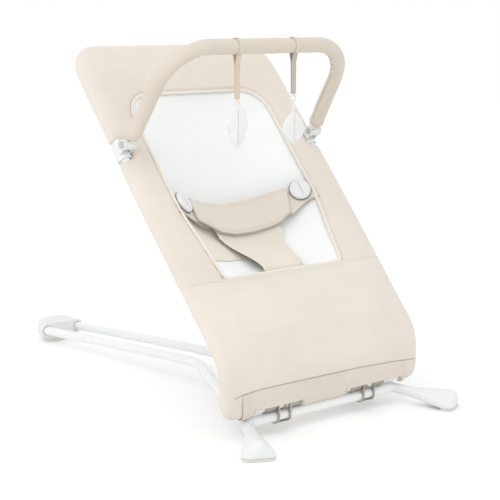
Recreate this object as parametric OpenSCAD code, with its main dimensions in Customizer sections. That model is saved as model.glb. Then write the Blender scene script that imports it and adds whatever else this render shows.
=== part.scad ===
// Baby bouncer seat: fabric sling on a tube frame, hinged to a low bouncing base.
// X runs across the seat, -Y is the foot end, +Y the head end, Z is up, and
// the floor is Z = 0 with the origin at the middle of the footprint.
// Everything is drawn from the hinge line and moved back by origin_y.

/* [Seat frame] */
// Outside diameter of every frame tube
tube_d = 16; // [14:1:18]
// Wall thickness of the frame tubes
tube_wall = 1.4; // [1:0.2:2]
// Half distance between the side tubes
seat_half = 194; // [190:1:198]
// Length of the sloping part, from its knee to the head edge
slope_len = 564; // [520:1:580]
// Slope of the seat above the floor, in degrees
slope = 49.8; // [48:0.1:52]
// Height of the seat hinge axis
hinge_z = 45; // [44:0.5:48]

/* [Base] */
// Height of the front cross tube of the base
cross_z = 26.5; // [25:0.5:28]
// Half length of the front cross tube
cross_half = 148; // [146:1:150]
// Half distance between the two tail tubes
tail_half = 34; // [30:1:40]
// Distance of the rear foot behind the hinge line
tail_len = 740; // [700:5:750]
// Half distance between the front feet
foot_half = 200; // [180:1:210]
// How far the front feet stand before the hinge line
foot_reach = 77; // [60:1:90]

/* [Sling] */
// Half width of the opening between the side bolsters
sling_half = 142; // [130:1:150]
// Lower end of the opening, along the slope
sling_low = 126; // [110:1:140]
// Upper end of the opening, along the slope
sling_top = 472; // [440:1:490]
// Depth of the sling at its deepest point
sling_sag = 52; // [40:1:56]

/* [Toy bar] */
// Place of the toy bar clamps along the slope
clamp_s = 368; // [350:1:380]
// Diameter of the padded toy bar
bar_d = 24; // [20:1:26]
// Reach of the toy bar from its pivots
bar_len = 176; // [160:1:180]
// Lean of the toy bar, measured from the +Y direction, in degrees
bar_lean = 123.4; // [110:0.1:130]
// Half distance between the two hanging toys
toy_half = 58; // [45:1:70]

/* [Harness] */
// Half distance between the two toggles
toggle_half = 122; // [116:1:126]
// Place of the toggles along the slope
toggle_s = 270; // [262:1:272]
// Diameter of the toggle buttons
toggle_d = 36; // [30:1:38]

/* [Hidden] */
$fn = 64;

origin_y = 335.33;
tr = tube_d / 2;
ti = tr - tube_wall;
C1 = [0, 0, cross_z];              // cross tube axis
C2 = [0, 0, hinge_z];              // seat hinge axis
pin_r = 24;                        // hinge axis to lock pin axis
lock_steps = [0, 14, 28, 42];      // upright, middle, low, folded
bracket_x = 76;                    // inner face of each bracket
tx = cos(slope); tz = sin(slope);
knee = [0, 0, 113.2];              // where the slope meets the upright part
A = knee + 15.5 * [0, tx, tz];     // zero of the distance along the slope

beige = [0.89, 0.84, 0.77];
white = [0.95, 0.95, 0.94];
steel = [0.52, 0.50, 0.47];

function unit(v) = v / norm(v);
// a point of the seat plane: x across, s up the slope, o out of the plane to the front
function sp(x, s, o = 0) = A + [x, s * tx - o * tz, s * tz + o * tx];

module place() translate([0, -origin_y, 0]) children();
module on_slope() translate(A) rotate([slope, 0, 0]) children();
module sided(side) mirror([side < 0 ? 1 : 0, 0, 0]) children();
// carries the z axis onto direction d at point p
module along(p, d) {
  z = unit(d);
  h = abs(z[2]) > 0.9 ? [1, 0, 0] : [0, 0, 1];
  x = unit(cross(h, z));
  y = cross(z, x);
  multmatrix([[x[0], y[0], z[0], p[0]], [x[1], y[1], z[1], p[1]], [x[2], y[2], z[2], p[2]], [0, 0, 0, 1]])
    children();
}
module rod(p, q, r) along(p, q - p) cylinder(h = norm(q - p), r = r);
module xrod(x0, x1, y, z, r) translate([x0, y, z]) rotate([0, 90, 0]) cylinder(h = x1 - x0, r = r);

// Round stock drawn in nested frames: each piece starts at the origin and runs up
// the z axis, and its children stand at its end.
module ring(r, ri) difference() {
  circle(r = r);
  if (ri > 0) circle(r = ri);
}
module straight(l, r, ri) {
  linear_extrude(height = l) ring(r, ri);
  translate([0, 0, l]) children();
}
module bend(R, a, r, ri) {
  translate([R, 0, 0]) rotate([90, 0, 0]) mirror([1, 0, 0]) rotate_extrude(angle = a) translate([R, 0]) ring(r, ri);
  translate([R, 0, 0]) rotate([0, a, 0]) translate([-R, 0, 0]) children();
}

// Points of a path with round bends: n points on each bend.
function arc(p, q, t, R, n) = let (a = unit(q - p), b = unit(t - q), w = acos(a * b), k = R * tan(w / 2),
  m = unit(b - (b * a) * a), c = q - a * k + m * R)
  [for (i = [0:n]) c + R * (sin(w * i / n) * a - cos(w * i / n) * m)];
function path(pts, bends, n) = concat([pts[0]],
  [for (i = [1:len(pts) - 2]) each arc(pts[i - 1], pts[i], pts[i + 1], bends[i - 1], n)], [pts[len(pts) - 1]]);
// A hollow tube swept along a path that stays close to level.
module swept_tube(c, r, ri, sides) {
  n = len(c);
  d = [for (i = [0:n - 1]) unit(c[min(i + 1, n - 1)] - c[max(i - 1, 0)])];
  ringpts = function (rad) [for (i = [0:n - 1]) let (x = unit(cross(d[i], [0, 0, 1])), y = cross(x, d[i]))
    for (k = [0:sides - 1]) c[i] + rad * (cos(360 * k / sides) * x + sin(360 * k / sides) * y)];
  N = n * sides;
  quad = function (a, b, e, f) [[a, b, e], [a, e, f]];
  outer = [for (i = [0:n - 2]) for (k = [0:sides - 1]) let (a = i * sides + k, b = i * sides + (k + 1) % sides)
    each quad(a, b, b + sides, a + sides)];
  inner = [for (t = outer) [t[0] + N, t[2] + N, t[1] + N]];
  first = [for (k = [0:sides - 1]) let (b = (k + 1) % sides) each quad(k, N + k, N + b, b)];
  last = [for (k = [0:sides - 1]) let (a = (n - 1) * sides + k, b = (n - 1) * sides + (k + 1) % sides) each quad(b, N + b, N + a, a)];
  polyhedron(points = concat(ringpts(r), ringpts(ri)), faces = concat(outer, inner, first, last), convexity = 8);
}

// A curved sheet: f(x, s) gives the front surface, s runs s0..s1, x runs -w(s)..w(s).
module sheet(s0, s1, ns, nx, w, f, th) {
  top = [for (j = [0:ns]) for (i = [0:nx]) let (s = s0 + (s1 - s0) * j / ns, x = w(s) * (2 * i / nx - 1)) [x, s, f(x, s)]];
  bot = [for (p = top) [p[0], p[1], p[2] - th]];
  N = len(top); m = nx + 1;
  up = [for (j = [0:ns - 1]) for (i = [0:nx - 1]) for (k = [0:1]) let (a = j * m + i)
    k == 0 ? [a, a + m, a + m + 1] : [a, a + m + 1, a + 1]];
  dn = [for (t = up) [t[0] + N, t[2] + N, t[1] + N]];
  s_lo = [for (i = [0:nx - 1]) each [[i, i + 1, N + i + 1], [i, N + i + 1, N + i]]];
  s_hi = [for (i = [0:nx - 1]) let (a = ns * m + i) each [[a + 1, a, N + a], [a + 1, N + a, N + a + 1]]];
  s_l = [for (j = [0:ns - 1]) let (a = j * m) each [[a + m, a, N + a], [a + m, N + a, N + a + m]]];
  s_r = [for (j = [0:ns - 1]) let (a = j * m + nx) each [[a, a + m, N + a + m], [a, N + a + m, N + a]]];
  polyhedron(points = concat(top, bot), faces = concat(up, dn, s_lo, s_hi, s_l, s_r), convexity = 6);
}

// ---- frame lines ----
knee_R = 60;                       // bend between the upright part and the slope
knee_a = 90 - slope;
knee_k = knee_R * tan(knee_a / 2);
corner_R = 24;                     // bend between the hinge tube and the upright part
corner_x = 138;                    // end of the hinge tube
bow_R = 40;                        // bends at the head edge
bow_s = 500;                       // lower end of the head bow
side_s = knee_k - 15.5 + 20;       // lower end of the side tube
// tail tube, right side, from the rear foot to the leg
tail_dir = unit([tail_half - 150, 252, 19]);
tail_end = [150, 10, 28] + 22 * tail_dir;
tail_pts = [[tail_half, tail_len - 12, 21.5], [tail_half, 400, 41], [tail_half, 262, 47], tail_end];
tail_bends = [600, 90];

// ---- base ----
module base_crossbar() place() color(white) difference() {
  xrod(-cross_half, cross_half, 0, cross_z, tr);
  xrod(-cross_half - 1, cross_half + 1, 0, cross_z, ti);
}
module tail_tube(side) place() color(white) sided(side) swept_tube(path(tail_pts, tail_bends, 4), tr, ti, 16);
module left_tail_tube() tail_tube(-1);
module right_tail_tube() tail_tube(1);

// moulded end cap that holds both tail tubes
cap_tilt = atan2(19.5, tail_len - 12 - 400);
module rear_foot() place() color(white) difference() {
  hull() for (s = [-1, 1]) {
    translate([s * 17, tail_len - 8, 5]) cylinder(h = 8, r = 17, $fn = 32);
    translate([s * 17, tail_len + 11, 25]) sphere(r = 16, $fn = 32);
    translate([s * tail_half, tail_len - 20, 22.5]) rotate([-90, 0, 0]) cylinder(h = 14, r = 12.5, $fn = 32);
  }
  for (s = [-1, 1]) translate([s * tail_half, tail_len - 12, 21.5]) rotate([90 - cap_tilt, 0, 0]) cylinder(h = 30, r = tr + 0.05);
  for (s = [-1, 1]) translate([s * 17, tail_len - 8, -1]) cylinder(h = 9, r = 3.2);
}
module rear_foot_pad() place() color([0.82, 0.82, 0.80]) difference() {
  hull() for (s = [-1, 1]) translate([s * 17, tail_len - 8, 0]) cylinder(h = 5, r = 16, $fn = 48);
  for (s = [-1, 1]) translate([s * 17, tail_len - 8, -1]) cylinder(h = 9, r = 4.6);
}
module rear_foot_screws() place() color("silver") for (s = [-1, 1]) translate([s * 17, tail_len - 8, 0]) {
  translate([0, 0, 1.6]) difference() {
    cylinder(h = 2.4, r = 4.4);
    translate([-3, -0.6, -1]) cube([6, 1.2, 2]);
  }
  translate([0, 0, 4]) cylinder(h = 3.8, r = 3);
}

// moulded leg: spigot in the cross tube, socket for the tail tube, broad foot
leg_a = [cross_half + 0.2, 0, cross_z];
foot_c = [foot_half, -foot_reach, 0];
leg_d = unit([foot_c[0] - 160, foot_c[1], 0]);
module leg(side) place() color(white) sided(side) difference() {
  union() {
    difference() {
      union() {
        hull() {
          xrod(cross_half + 0.2, cross_half + 4, 0, cross_z, tr - 0.3);
          translate([158, -1, 24.6]) sphere(r = 8.0, $fn = 32);
        }
        hull() {
          translate([158, -1, 24.6]) sphere(r = 8.0, $fn = 32);
          translate([172, -30, 20]) sphere(r = 8.6, $fn = 32);
        }
        hull() {
          translate([172, -30, 20]) sphere(r = 8.6, $fn = 32);
          along(foot_c + [0, 0, 17] - leg_d * 18, leg_d) cylinder(h = 6, r = 10.5, $fn = 32);
          for (k = [-1, 1]) translate(foot_c + leg_d * 2 + k * 13 * [-leg_d[1], leg_d[0], 0] + [0, 0, 4]) cylinder(h = 7, r = 11.5, $fn = 32);
          translate(foot_c + leg_d * 4 + [0, 0, 17.4]) sphere(r = 13, $fn = 32);
        }
        hull() {
          translate([158, -1, 24.6]) sphere(r = 8.0, $fn = 32);
          along([150, 10, 28] + 12 * tail_dir, tail_dir) cylinder(h = 28, r = 10.2, $fn = 32);
        }
      }
      xrod(cross_half - 40, cross_half + 0.2, 0, cross_z, tr + 0.05);
    }
    xrod(cross_half - 24, cross_half + 2, 0, cross_z, ti - 0.05);
  }
  rod([150, 10, 28] + 21.8 * tail_dir, [150, 10, 28] + 60 * tail_dir, tr + 0.05);
  translate(foot_c + [0, 0, -1]) cylinder(h = 7, r = 3.2);
}
module left_leg() leg(-1);
module right_leg() leg(1);
module foot_pad(side) place() color([0.80, 0.79, 0.76]) sided(side) difference() {
  hull() for (k = [-1, 1]) translate(foot_c + leg_d * 2 + k * 13 * [-leg_d[1], leg_d[0], 0]) {
    cylinder(h = 2, r = 10.5, $fn = 48);
    translate([0, 0, 2]) cylinder(h = 2, r = 11.5, $fn = 48);
  }
  translate(foot_c + [0, 0, -1]) cylinder(h = 7, r = 4.6);
}
module left_foot_pad() foot_pad(-1);
module right_foot_pad() foot_pad(1);
module leg_screws() place() color("silver") for (s = [-1, 1]) translate([s * foot_c[0], foot_c[1], 0]) {
  translate([0, 0, 1]) difference() {
    cylinder(h = 2.4, r = 4.4);
    translate([-3, -0.6, -1]) cube([6, 1.2, 2]);
  }
  translate([0, 0, 3.4]) cylinder(h = 2.6, r = 3);
}

// ---- hinge brackets: two cheeks round both tubes, a strap under the cross tube ----
bush = 1.2;                        // bush wall
cheek_r = 11.2;
lobe_r = 6.6;                      // end of the cheek round the lock pin
function arc_pts(c, r, a0, a1, n) = [for (i = [0:n]) let (a = a0 + (a1 - a0) * i / n) c + r * [cos(a), sin(a)]];
module cheek() linear_extrude(height = 3) difference() {
  polygon(concat(arc_pts([0, cross_z], cheek_r, 180, 360, 18),
    [[cheek_r, hinge_z - lobe_r]], arc_pts([pin_r, hinge_z], lobe_r, -90, 90, 14),
    arc_pts([0, hinge_z], cheek_r, asin(lobe_r / cheek_r), 180, 14)));
  translate([0, cross_z]) circle(r = tr + bush);
  translate([0, hinge_z]) circle(r = tr + bush);
  translate([pin_r, hinge_z]) circle(r = 2.55);
}
module yz(x) translate([x, 0, 0]) multmatrix([[0, 0, 1, 0], [1, 0, 0, 0], [0, 1, 0, 0], [0, 0, 0, 1]]) children();
module hinge_bracket(side) place() color(steel) sided(side) {
  yz(bracket_x) cheek();
  yz(bracket_x + 23) cheek();
  // strap that joins the cheeks under the cross tube
  yz(bracket_x + 0.5) linear_extrude(height = 25) polygon(concat(
    arc_pts([0, cross_z], tr + bush + 0.2, -130, -50, 8), arc_pts([0, cross_z], cheek_r - 0.2, -50, -130, 8)));
}
module left_hinge_bracket() hinge_bracket(-1);
module right_hinge_bracket() hinge_bracket(1);
module hinge_bushes() place() color([0.9, 0.9, 0.88]) for (s = [-1, 1]) sided(s) for (x = [bracket_x, bracket_x + 23]) for (z = [cross_z, hinge_z]) difference() {
  xrod(x, x + 3, 0, z, tr + bush);
  xrod(x - 1, x + 4, 0, z, tr + 0.05);
}
// spring-loaded locking pin behind the hinge, pulled outwards by its knob
module lock_pin(side) place() color("silver") sided(side) translate([0, pin_r, hinge_z]) {
  xrod(bracket_x + 11.4, bracket_x + 30, 0, 0, 2.5);
  xrod(bracket_x + 12, bracket_x + 13.4, 0, 0, 4.4);
}
module left_lock_pin() lock_pin(-1);
module right_lock_pin() lock_pin(1);
module lock_knob(side) place() color([0.62, 0.60, 0.57]) sided(side) translate([0, pin_r, hinge_z]) difference() {
  union() {
    xrod(bracket_x + 26.4, bracket_x + 29, 0, 0, 5);
    xrod(bracket_x + 29, bracket_x + 35, 0, 0, 6.4);
  }
  xrod(bracket_x + 26, bracket_x + 30, 0, 0, 2.5);
}
module left_lock_knob() lock_knob(-1);
module right_lock_knob() lock_knob(1);
module lock_spring(side) place() color([0.75, 0.75, 0.76]) sided(side) translate([bracket_x + 13.6, pin_r, hinge_z]) rotate([0, 90, 0])
  for (i = [0:3]) translate([0, 0, 0.7 + i * 2.55]) rotate_extrude() translate([3.6, 0]) circle(r = 0.5, $fn = 24);
module left_lock_spring() lock_spring(-1);
module right_lock_spring() lock_spring(1);

// ---- seat frame ----
module seat_bottom_tube() place() color(white) difference() {
  xrod(-138, 138, 0, hinge_z, tr);
  xrod(-139, 139, 0, hinge_z, ti);
}
// corner of the frame, from the hinge tube up and round the knee
module corner_stock(r, ri, a = 0, b = 20) translate([-corner_x, 0, hinge_z]) rotate([0, -90, 0])
  straight(seat_half - corner_R - corner_x, r, ri) bend(corner_R, 90, r, ri)
  straight(knee[2] - knee_k - hinge_z - corner_R, r, ri) rotate([0, 0, 90]) bend(knee_R, knee_a, r, ri)
  straight(b, r, ri);
module corner_tube(side) place() color(white) sided(-side) corner_stock(tr, ti);
module left_corner_tube() corner_tube(-1);
module right_corner_tube() corner_tube(1);
// round stock up the slope, from s0 to s1
module up_slope(x, s0, s1, r, ri = 0) on_slope() translate([x, s0, 0]) rotate([-90, 0, 0]) linear_extrude(height = s1 - s0) ring(r, ri);
module side_tube(side) place() color(white) up_slope(side * seat_half, side_s, bow_s, tr, ti);
module left_side_tube() side_tube(-1);
module right_side_tube() side_tube(1);
module seat_top_bow() place() color(white) translate(A) rotate([slope - 90, 0, 0]) translate([-seat_half, 0, bow_s])
  straight(slope_len - bow_R - bow_s, tr, ti) bend(bow_R, 90, tr, ti) straight(2 * seat_half - 2 * bow_R, tr, ti)
  bend(bow_R, 90, tr, ti) straight(slope_len - bow_R - bow_s, tr, ti);
module frame_connectors() place() color("silver") for (s = [-1, 1]) {
  sided(s) xrod(118, 158, 0, hinge_z, ti - 0.05);
  up_slope(s * seat_half, side_s - 18, side_s + 18, ti - 0.05);
  up_slope(s * seat_half, bow_s - 18, bow_s + 18, ti - 0.05);
}
module frame_rivets() place() color("silver") for (s = [-1, 1]) sided(s) {
  translate([128, tr + 0.02, hinge_z]) rotate([-90, 0, 0]) cylinder(h = 1.4, r = 2.6);
  translate([148, tr + 0.02, hinge_z]) rotate([-90, 0, 0]) cylinder(h = 1.4, r = 2.6);
}
// notched plate fixed on the hinge tube, one hole for each seat position
module quadrant(side) place() color(steel) sided(side) yz(bracket_x + 8) linear_extrude(height = 3) translate([0, hinge_z]) difference() {
  union() {
    circle(r = 10.2);
    intersection() {
      circle(r = pin_r + 4.6);
      polygon(concat([[0, 0]], [for (a = [-9:2:53]) 40 * [cos(a), sin(a)]]));
    }
  }
  circle(r = tr);
  for (a = lock_steps) rotate(a) translate([pin_r, 0]) circle(r = 2.7);
}
module left_quadrant() quadrant(-1);
module right_quadrant() quadrant(1);

// collars on the hinge tube that keep each bracket in its place
module hinge_collars(side) place() color(steel) sided(side) for (x = [[bracket_x - 24, bracket_x - 0.6], [bracket_x + 26.6, bracket_x + 48.4]]) difference() {
  xrod(x[0], x[1], 0, hinge_z, tr + 1.6);
  xrod(x[0] - 1, x[1] + 1, 0, hinge_z, tr + 0.05);
}
module left_hinge_collars() hinge_collars(-1);
module right_hinge_collars() hinge_collars(1);

// ---- fabric cover, as padded panels sleeved over the tubes ----
skin = 2.1;
bore = tr + 0.3;                   // room for a tube inside the cover
pad_t = 8;
module slope_block(x0, x1, s0, s1, o0, o1) on_slope() translate([x0, s0, o0]) cube([x1 - x0, s1 - s0, o1 - o0]);
// outline of the head panel: round where it follows the bow
in_R = bow_R - bore;
function round_corner(cx, cy, r, a0, a1, n = 9) = [for (i = [0:n]) let (a = a0 + (a1 - a0) * i / n) [cx + r * cos(a), cy + r * sin(a)]];
module head_panel() place() color(beige) difference() {
  union() {
    on_slope() translate([0, 0, -pad_t]) linear_extrude(height = 2 * pad_t) polygon(concat(
      [[-seat_half, sling_top], [seat_half, sling_top], [seat_half, slope_len - bow_R]],
      round_corner(seat_half - bow_R, slope_len - bow_R, in_R, 0, 90),
      [[seat_half - bow_R, slope_len], [-seat_half + bow_R, slope_len]],
      round_corner(-seat_half + bow_R, slope_len - bow_R, in_R, 90, 180),
      [[-seat_half, slope_len - bow_R]]));
    for (s = [-1, 1]) up_slope(s * seat_half, sling_top, slope_len - bow_R, tr + skin);
    on_slope() translate([0, slope_len, 0]) xrod(-seat_half + bow_R, seat_half - bow_R, 0, 0, tr + skin);
  }
  for (s = [-1, 1]) up_slope(s * seat_half, sling_top - 1, slope_len - bow_R + 1, bore);
  on_slope() translate([0, slope_len, 0]) xrod(-seat_half + bow_R - 1, seat_half - bow_R + 1, 0, 0, bore);
}
module side_bolster(side) place() color(beige) sided(side) difference() {
  on_slope() translate([0, sling_low, 0]) rotate([-90, 0, 0]) linear_extrude(height = sling_top - sling_low) difference() {
    union() {
      translate([seat_half, 0]) circle(r = tr + skin);
      translate([sling_half, -pad_t]) square([seat_half - sling_half, 2 * pad_t]);
    }
    translate([seat_half, 0]) circle(r = bore);
  }
  // window for the toy bar clamp
  slope_block(seat_half - 12.2, seat_half + 30, clamp_s - 17, clamp_s + 17, -40, 40);
}
module left_side_bolster() side_bolster(-1);
module right_side_bolster() side_bolster(1);
// the panel in the side view, upright, knee and slope, between the offsets a (front) and b (back)
function lower_edge(t, z0) = concat([[t, z0]],
  [for (i = [0:8]) let (w = knee_a * i / 8) [knee_R - (knee_R - t) * cos(w), knee[2] - knee_k + (knee_R - t) * sin(w)]],
  [[A[1] + sling_low * tx + t * tz, A[2] + sling_low * tz - t * tx]]);
module lower_section(a, b, z0) polygon(concat(lower_edge(a, z0), [for (i = [9:-1:-1]) let (e = lower_edge(b, z0)) e[i + 1]]));
module lower_panel() place() color(beige) difference() {
  union() {
    intersection() {
      yz(-seat_half + bore + 0.1) linear_extrude(height = 2 * (seat_half - bore - 0.1)) lower_section(-9.8, pad_t, hinge_z + 1);
      // front outline, round at the two lower corners
      translate([0, 200, 0]) rotate([90, 0, 0]) linear_extrude(height = 400) polygon(concat(
        [[-seat_half, 400]],
        round_corner(-seat_half + corner_R, hinge_z + corner_R, corner_R - bore - 0.1, 180, 270, 8),
        [[-seat_half + corner_R, hinge_z + 1], [seat_half - corner_R, hinge_z + 1]],
        round_corner(seat_half - corner_R, hinge_z + corner_R, corner_R - bore - 0.1, 270, 360, 8),
        [[seat_half, 400]]));
    }
    for (s = [-1, 1]) {
      up_slope(s * seat_half, side_s, sling_low, tr + skin);
      slope_block(s > 0 ? seat_half - 12 : -seat_half, s > 0 ? seat_half : -seat_half + 12, side_s, sling_low, -pad_t, pad_t);
      sided(s) xrod(154, seat_half - corner_R, 0, hinge_z, tr + skin);
    }
    xrod(-34, 34, 0, hinge_z, tr + skin);
  }
  for (s = [-1, 1]) up_slope(s * seat_half, side_s - 1, sling_low + 1, bore);
  xrod(-seat_half + corner_R - 1, seat_half - corner_R + 1, 0, hinge_z, bore);
  // behind its front edge the panel stays above the hinge tube
  for (s = [-1, 1]) sided(s) translate([34, -bore, hinge_z]) cube([120, 30, bore + 0.3]);
  // openings for the two hinge brackets and their knobs
  for (s = [-1, 1]) sided(s) {
    translate([bracket_x - 5, -bore, hinge_z]) cube([49, 30, 24]);
    translate([bracket_x - 5, -30, hinge_z - 20]) cube([33, 60, 20 + cheek_r + 1.6]);
    translate([bracket_x - 25, -30, hinge_z - 20]) cube([76, 60, 20 + tr + 2.4]);
  }
}
// sagging inner panel
function sag(s) = let (u = (s - sling_low) / (sling_top - sling_low)) sling_sag * pow(sin(180 * pow(u, 0.82)), 0.85);
module sling_panel() place() color(white) on_slope()
  sheet(sling_low + 0.5, sling_top - 0.5, 14, 16, function (s) sling_half - 0.5,
    function (x, s) 3 - sag(s) * (1 - pow(abs(x) / sling_half, 2.4)), 3);

// ---- harness: flap between the legs and a belt fastened by two toggles ----
belt_R = 281; belt_deep = 30; belt_t = 7;
tilt = asin(toggle_half / belt_R);
module belt_sector(r0, r1, s0, s1, x0, x1) on_slope() translate([0, s0, belt_R - belt_deep]) rotate([-90, 0, 0]) linear_extrude(height = s1 - s0)
  intersection() {
    difference() { circle(r = r1, $fn = 128); circle(r = r0, $fn = 128); }
    polygon([[0, 0], [400 * tan(asin(x0 / belt_R)), 400], [400 * tan(asin(x1 / belt_R)), 400]]);
  }
// frame of one toggle: its axis leans towards the middle of the seat
module at_toggle(side) on_slope() translate([0, toggle_s, belt_R - belt_deep]) rotate([0, -side * tilt, 0]) translate([0, 0, -belt_R]) children();
module waist_belt() place() color([0.88, 0.82, 0.75]) belt_sector(belt_R - belt_t / 2, belt_R + belt_t / 2, 216, 278, -104, 104);
function flap_w(s) = s > 214 ? 66 : 40 + 26 * pow((s - sling_low) / (214 - sling_low), 2);
function flap_o(x, s) = let (u = min(1, (s - sling_low) / 88), e = u * u * (3 - 2 * u))
  6.6 - e * (belt_deep + belt_t / 2 + 7.6) + e * x * x / (2 * belt_R);
module crotch_panel() place() color([0.92, 0.88, 0.82]) on_slope()
  sheet(sling_low + 0.6, 262, 12, 10, function (s) flap_w(s), function (x, s) flap_o(x, s), 3);
module wing_strap(side) place() color([0.88, 0.82, 0.75]) sided(side) difference() {
  belt_sector(belt_R + 2.7, belt_R + 5.2, toggle_s - 28, toggle_s + 20, 104.2, 137);
  at_toggle(1) translate([0, 0, -14]) cylinder(h = 28, r = 4.1);
}
module left_wing_strap() wing_strap(-1);
module right_wing_strap() wing_strap(1);
module toggle(side) place() color(white) at_toggle(side) difference() {
  union() {
    translate([0, 0, -1.7]) cylinder(h = 5, d = toggle_d);
    translate([0, 0, 3.3]) cylinder(h = 2.2, r1 = toggle_d / 2, r2 = toggle_d / 2 - 3.5);
    translate([0, 0, -6.6]) cylinder(h = 6, r = 4);
  }
  translate([-toggle_d, -1, 4.2]) cube([2 * toggle_d, 2, 5]);
}
module left_toggle() toggle(-1);
module right_toggle() toggle(1);
module toggle_washers() place() color(white) for (s = [-1, 1]) at_toggle(s) translate([0, 0, -6.6]) difference() {
  cylinder(h = 1.2, r = 7);
  translate([0, 0, -1]) cylinder(h = 4, r = 4.05);
}

// ---- toy bar ----
bar_o = 22;                        // pivot height above the seat plane
pivot = sp(0, clamp_s, bar_o);
bar_v = [0, cos(bar_lean), sin(bar_lean)];
clamp_x = seat_half;
bar_x = seat_half - 7;             // half distance between the legs of the bar
bar_R = 75;
module clamp(side) place() color(white) sided(side) on_slope() difference() {
  union() {
    translate([clamp_x, clamp_s - 15, 0]) rotate([-90, 0, 0]) cylinder(h = 30, r = 11.4);
    for (x = [clamp_x - 11.2, clamp_x + 7.4]) {
      translate([x, clamp_s - 7, 0]) cube([3.8, 14, bar_o]);
      translate([x, clamp_s, bar_o]) rotate([0, 90, 0]) cylinder(h = 3.8, r = 8.4);
    }
  }
  translate([clamp_x, clamp_s - 20, 0]) rotate([-90, 0, 0]) cylinder(h = 40, r = tr + 0.2);
  translate([clamp_x - 20, clamp_s, bar_o]) rotate([0, 90, 0]) cylinder(h = 40, r = 3.05);
}
module left_bar_clamp() clamp(-1);
module right_bar_clamp() clamp(1);
module pivot_pin(side) place() color("silver") sided(side) translate([0, pivot[1], pivot[2]]) {
  xrod(clamp_x - 11.4, clamp_x + 11.4, 0, 0, 3);
  xrod(clamp_x + 11.3, clamp_x + 13.2, 0, 0, 5.5);
  xrod(clamp_x - 13, clamp_x - 11.3, 0, 0, 4.6);
}
module left_pivot_pin() pivot_pin(-1);
module right_pivot_pin() pivot_pin(1);
bar_top = pivot + bar_len * bar_v;
// round stock of the bar, starting at distance a from the pivots
module bar_stock(a, r, ri) translate([-bar_x, pivot[1], pivot[2]]) rotate([bar_lean - 90, 0, 0]) translate([0, 0, a])
  straight(bar_len - bar_R - a, r, ri) bend(bar_R, 90, r, ri) straight(2 * bar_x - 2 * bar_R, r, ri)
  bend(bar_R, 90, r, ri) straight(bar_len - bar_R - a, r, ri);
module toy_bar_core() place() color("silver") bar_stock(9.6, 4.5, 0);
module toy_bar_sleeve() place() color(beige) bar_stock(14.4, bar_d / 2, 4.8);
module bar_end(side) place() color(white) sided(side) difference() {
  translate([0, pivot[1], pivot[2]]) rotate([bar_lean - 90, 0, 0]) {
    xrod(clamp_x - 7.1, clamp_x + 7.1, 0, 0, 8.4);
    translate([clamp_x - 7, 0, 6]) cylinder(h = 8.2, r = 7);
  }
  translate([0, pivot[1], pivot[2]]) rotate([bar_lean - 90, 0, 0]) {
    xrod(clamp_x - 20, clamp_x + 10, 0, 0, 3.05);
    translate([bar_x, 0, 9.3]) cylinder(h = 20, r = 4.55);
    translate([clamp_x - 20, -12, -12]) cube([20 - 7.1, 24, 21.2]);
  }
}
module left_bar_end() bar_end(-1);
module right_bar_end() bar_end(1);

// ---- toys, each hanging from a loop round the bar ----
loop_i = bar_d / 2 + 0.35;
module ribbon(w, l) {
  difference() {
    xrod(-w / 2, w / 2, 0, 0, loop_i + 1.5);
    xrod(-w, w, 0, 0, loop_i);
  }
  translate([-w / 2, -1.5, -loop_i - l]) cube([w, 3, l - 0.6]);
}
drop_l = 67;                       // length of the left ribbon below its loop
drop_r = 63;                       // length of the right ribbon below its loop
module left_toy_ribbon() place() color([0.88, 0.80, 0.72]) translate([-toy_half, bar_top[1], bar_top[2]]) ribbon(9, drop_l);
module right_toy_ribbon() place() color([0.78, 0.75, 0.71]) translate([toy_half, bar_top[1], bar_top[2]]) ribbon(9, drop_r);
// half width of the two leaves at the share t of their height
function lobed(t) = 20 * pow(sin(180 * pow(t, 0.75)), 0.7) * (0.74 + 0.26 * pow(abs(sin(180 * 3 * t + 20)), 0.6)) + 1;
function drop(t) = 22.2 * pow(sin(180 * pow(t, 1.15)), 0.72) + 0.8;
function leaf_outline(h, w) = concat([for (i = [0:30]) [w(i / 30), -h * i / 30]], [for (i = [30:-1:0]) [-w(i / 30), -h * i / 30]]);
module left_leaf_toy() place() color(white) translate([-toy_half, bar_top[1], bar_top[2] - loop_i - drop_l]) rotate([90, 0, 0]) translate([0, 0, -4])
  linear_extrude(height = 8) difference() {
    union() {
      translate([0, -6.4]) circle(r = 6);
      translate([-2.5, -16]) square([5, 6]);
      translate([0, -9]) polygon(leaf_outline(66, function (t) lobed(t)));
    }
    translate([0, -6.4]) circle(r = 2.6);
  }
module right_toy_clip() place() color(white) translate([toy_half, bar_top[1], bar_top[2] - loop_i - drop_r]) rotate([90, 0, 0]) translate([0, 0, -3])
  linear_extrude(height = 6) difference() {
    union() {
      translate([0, -6.9]) circle(r = 6.5);
      translate([-2.6, -28]) square([5.2, 20]);
    }
    translate([0, -6.9]) circle(r = 3);
  }
module right_leaf_toy() place() color(white) translate([toy_half, bar_top[1], bar_top[2] - loop_i - drop_r - 28.2]) rotate([90, 0, 0]) translate([0, 0, -4.5])
  linear_extrude(height = 9) polygon(leaf_outline(50, function (t) drop(t)));

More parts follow.
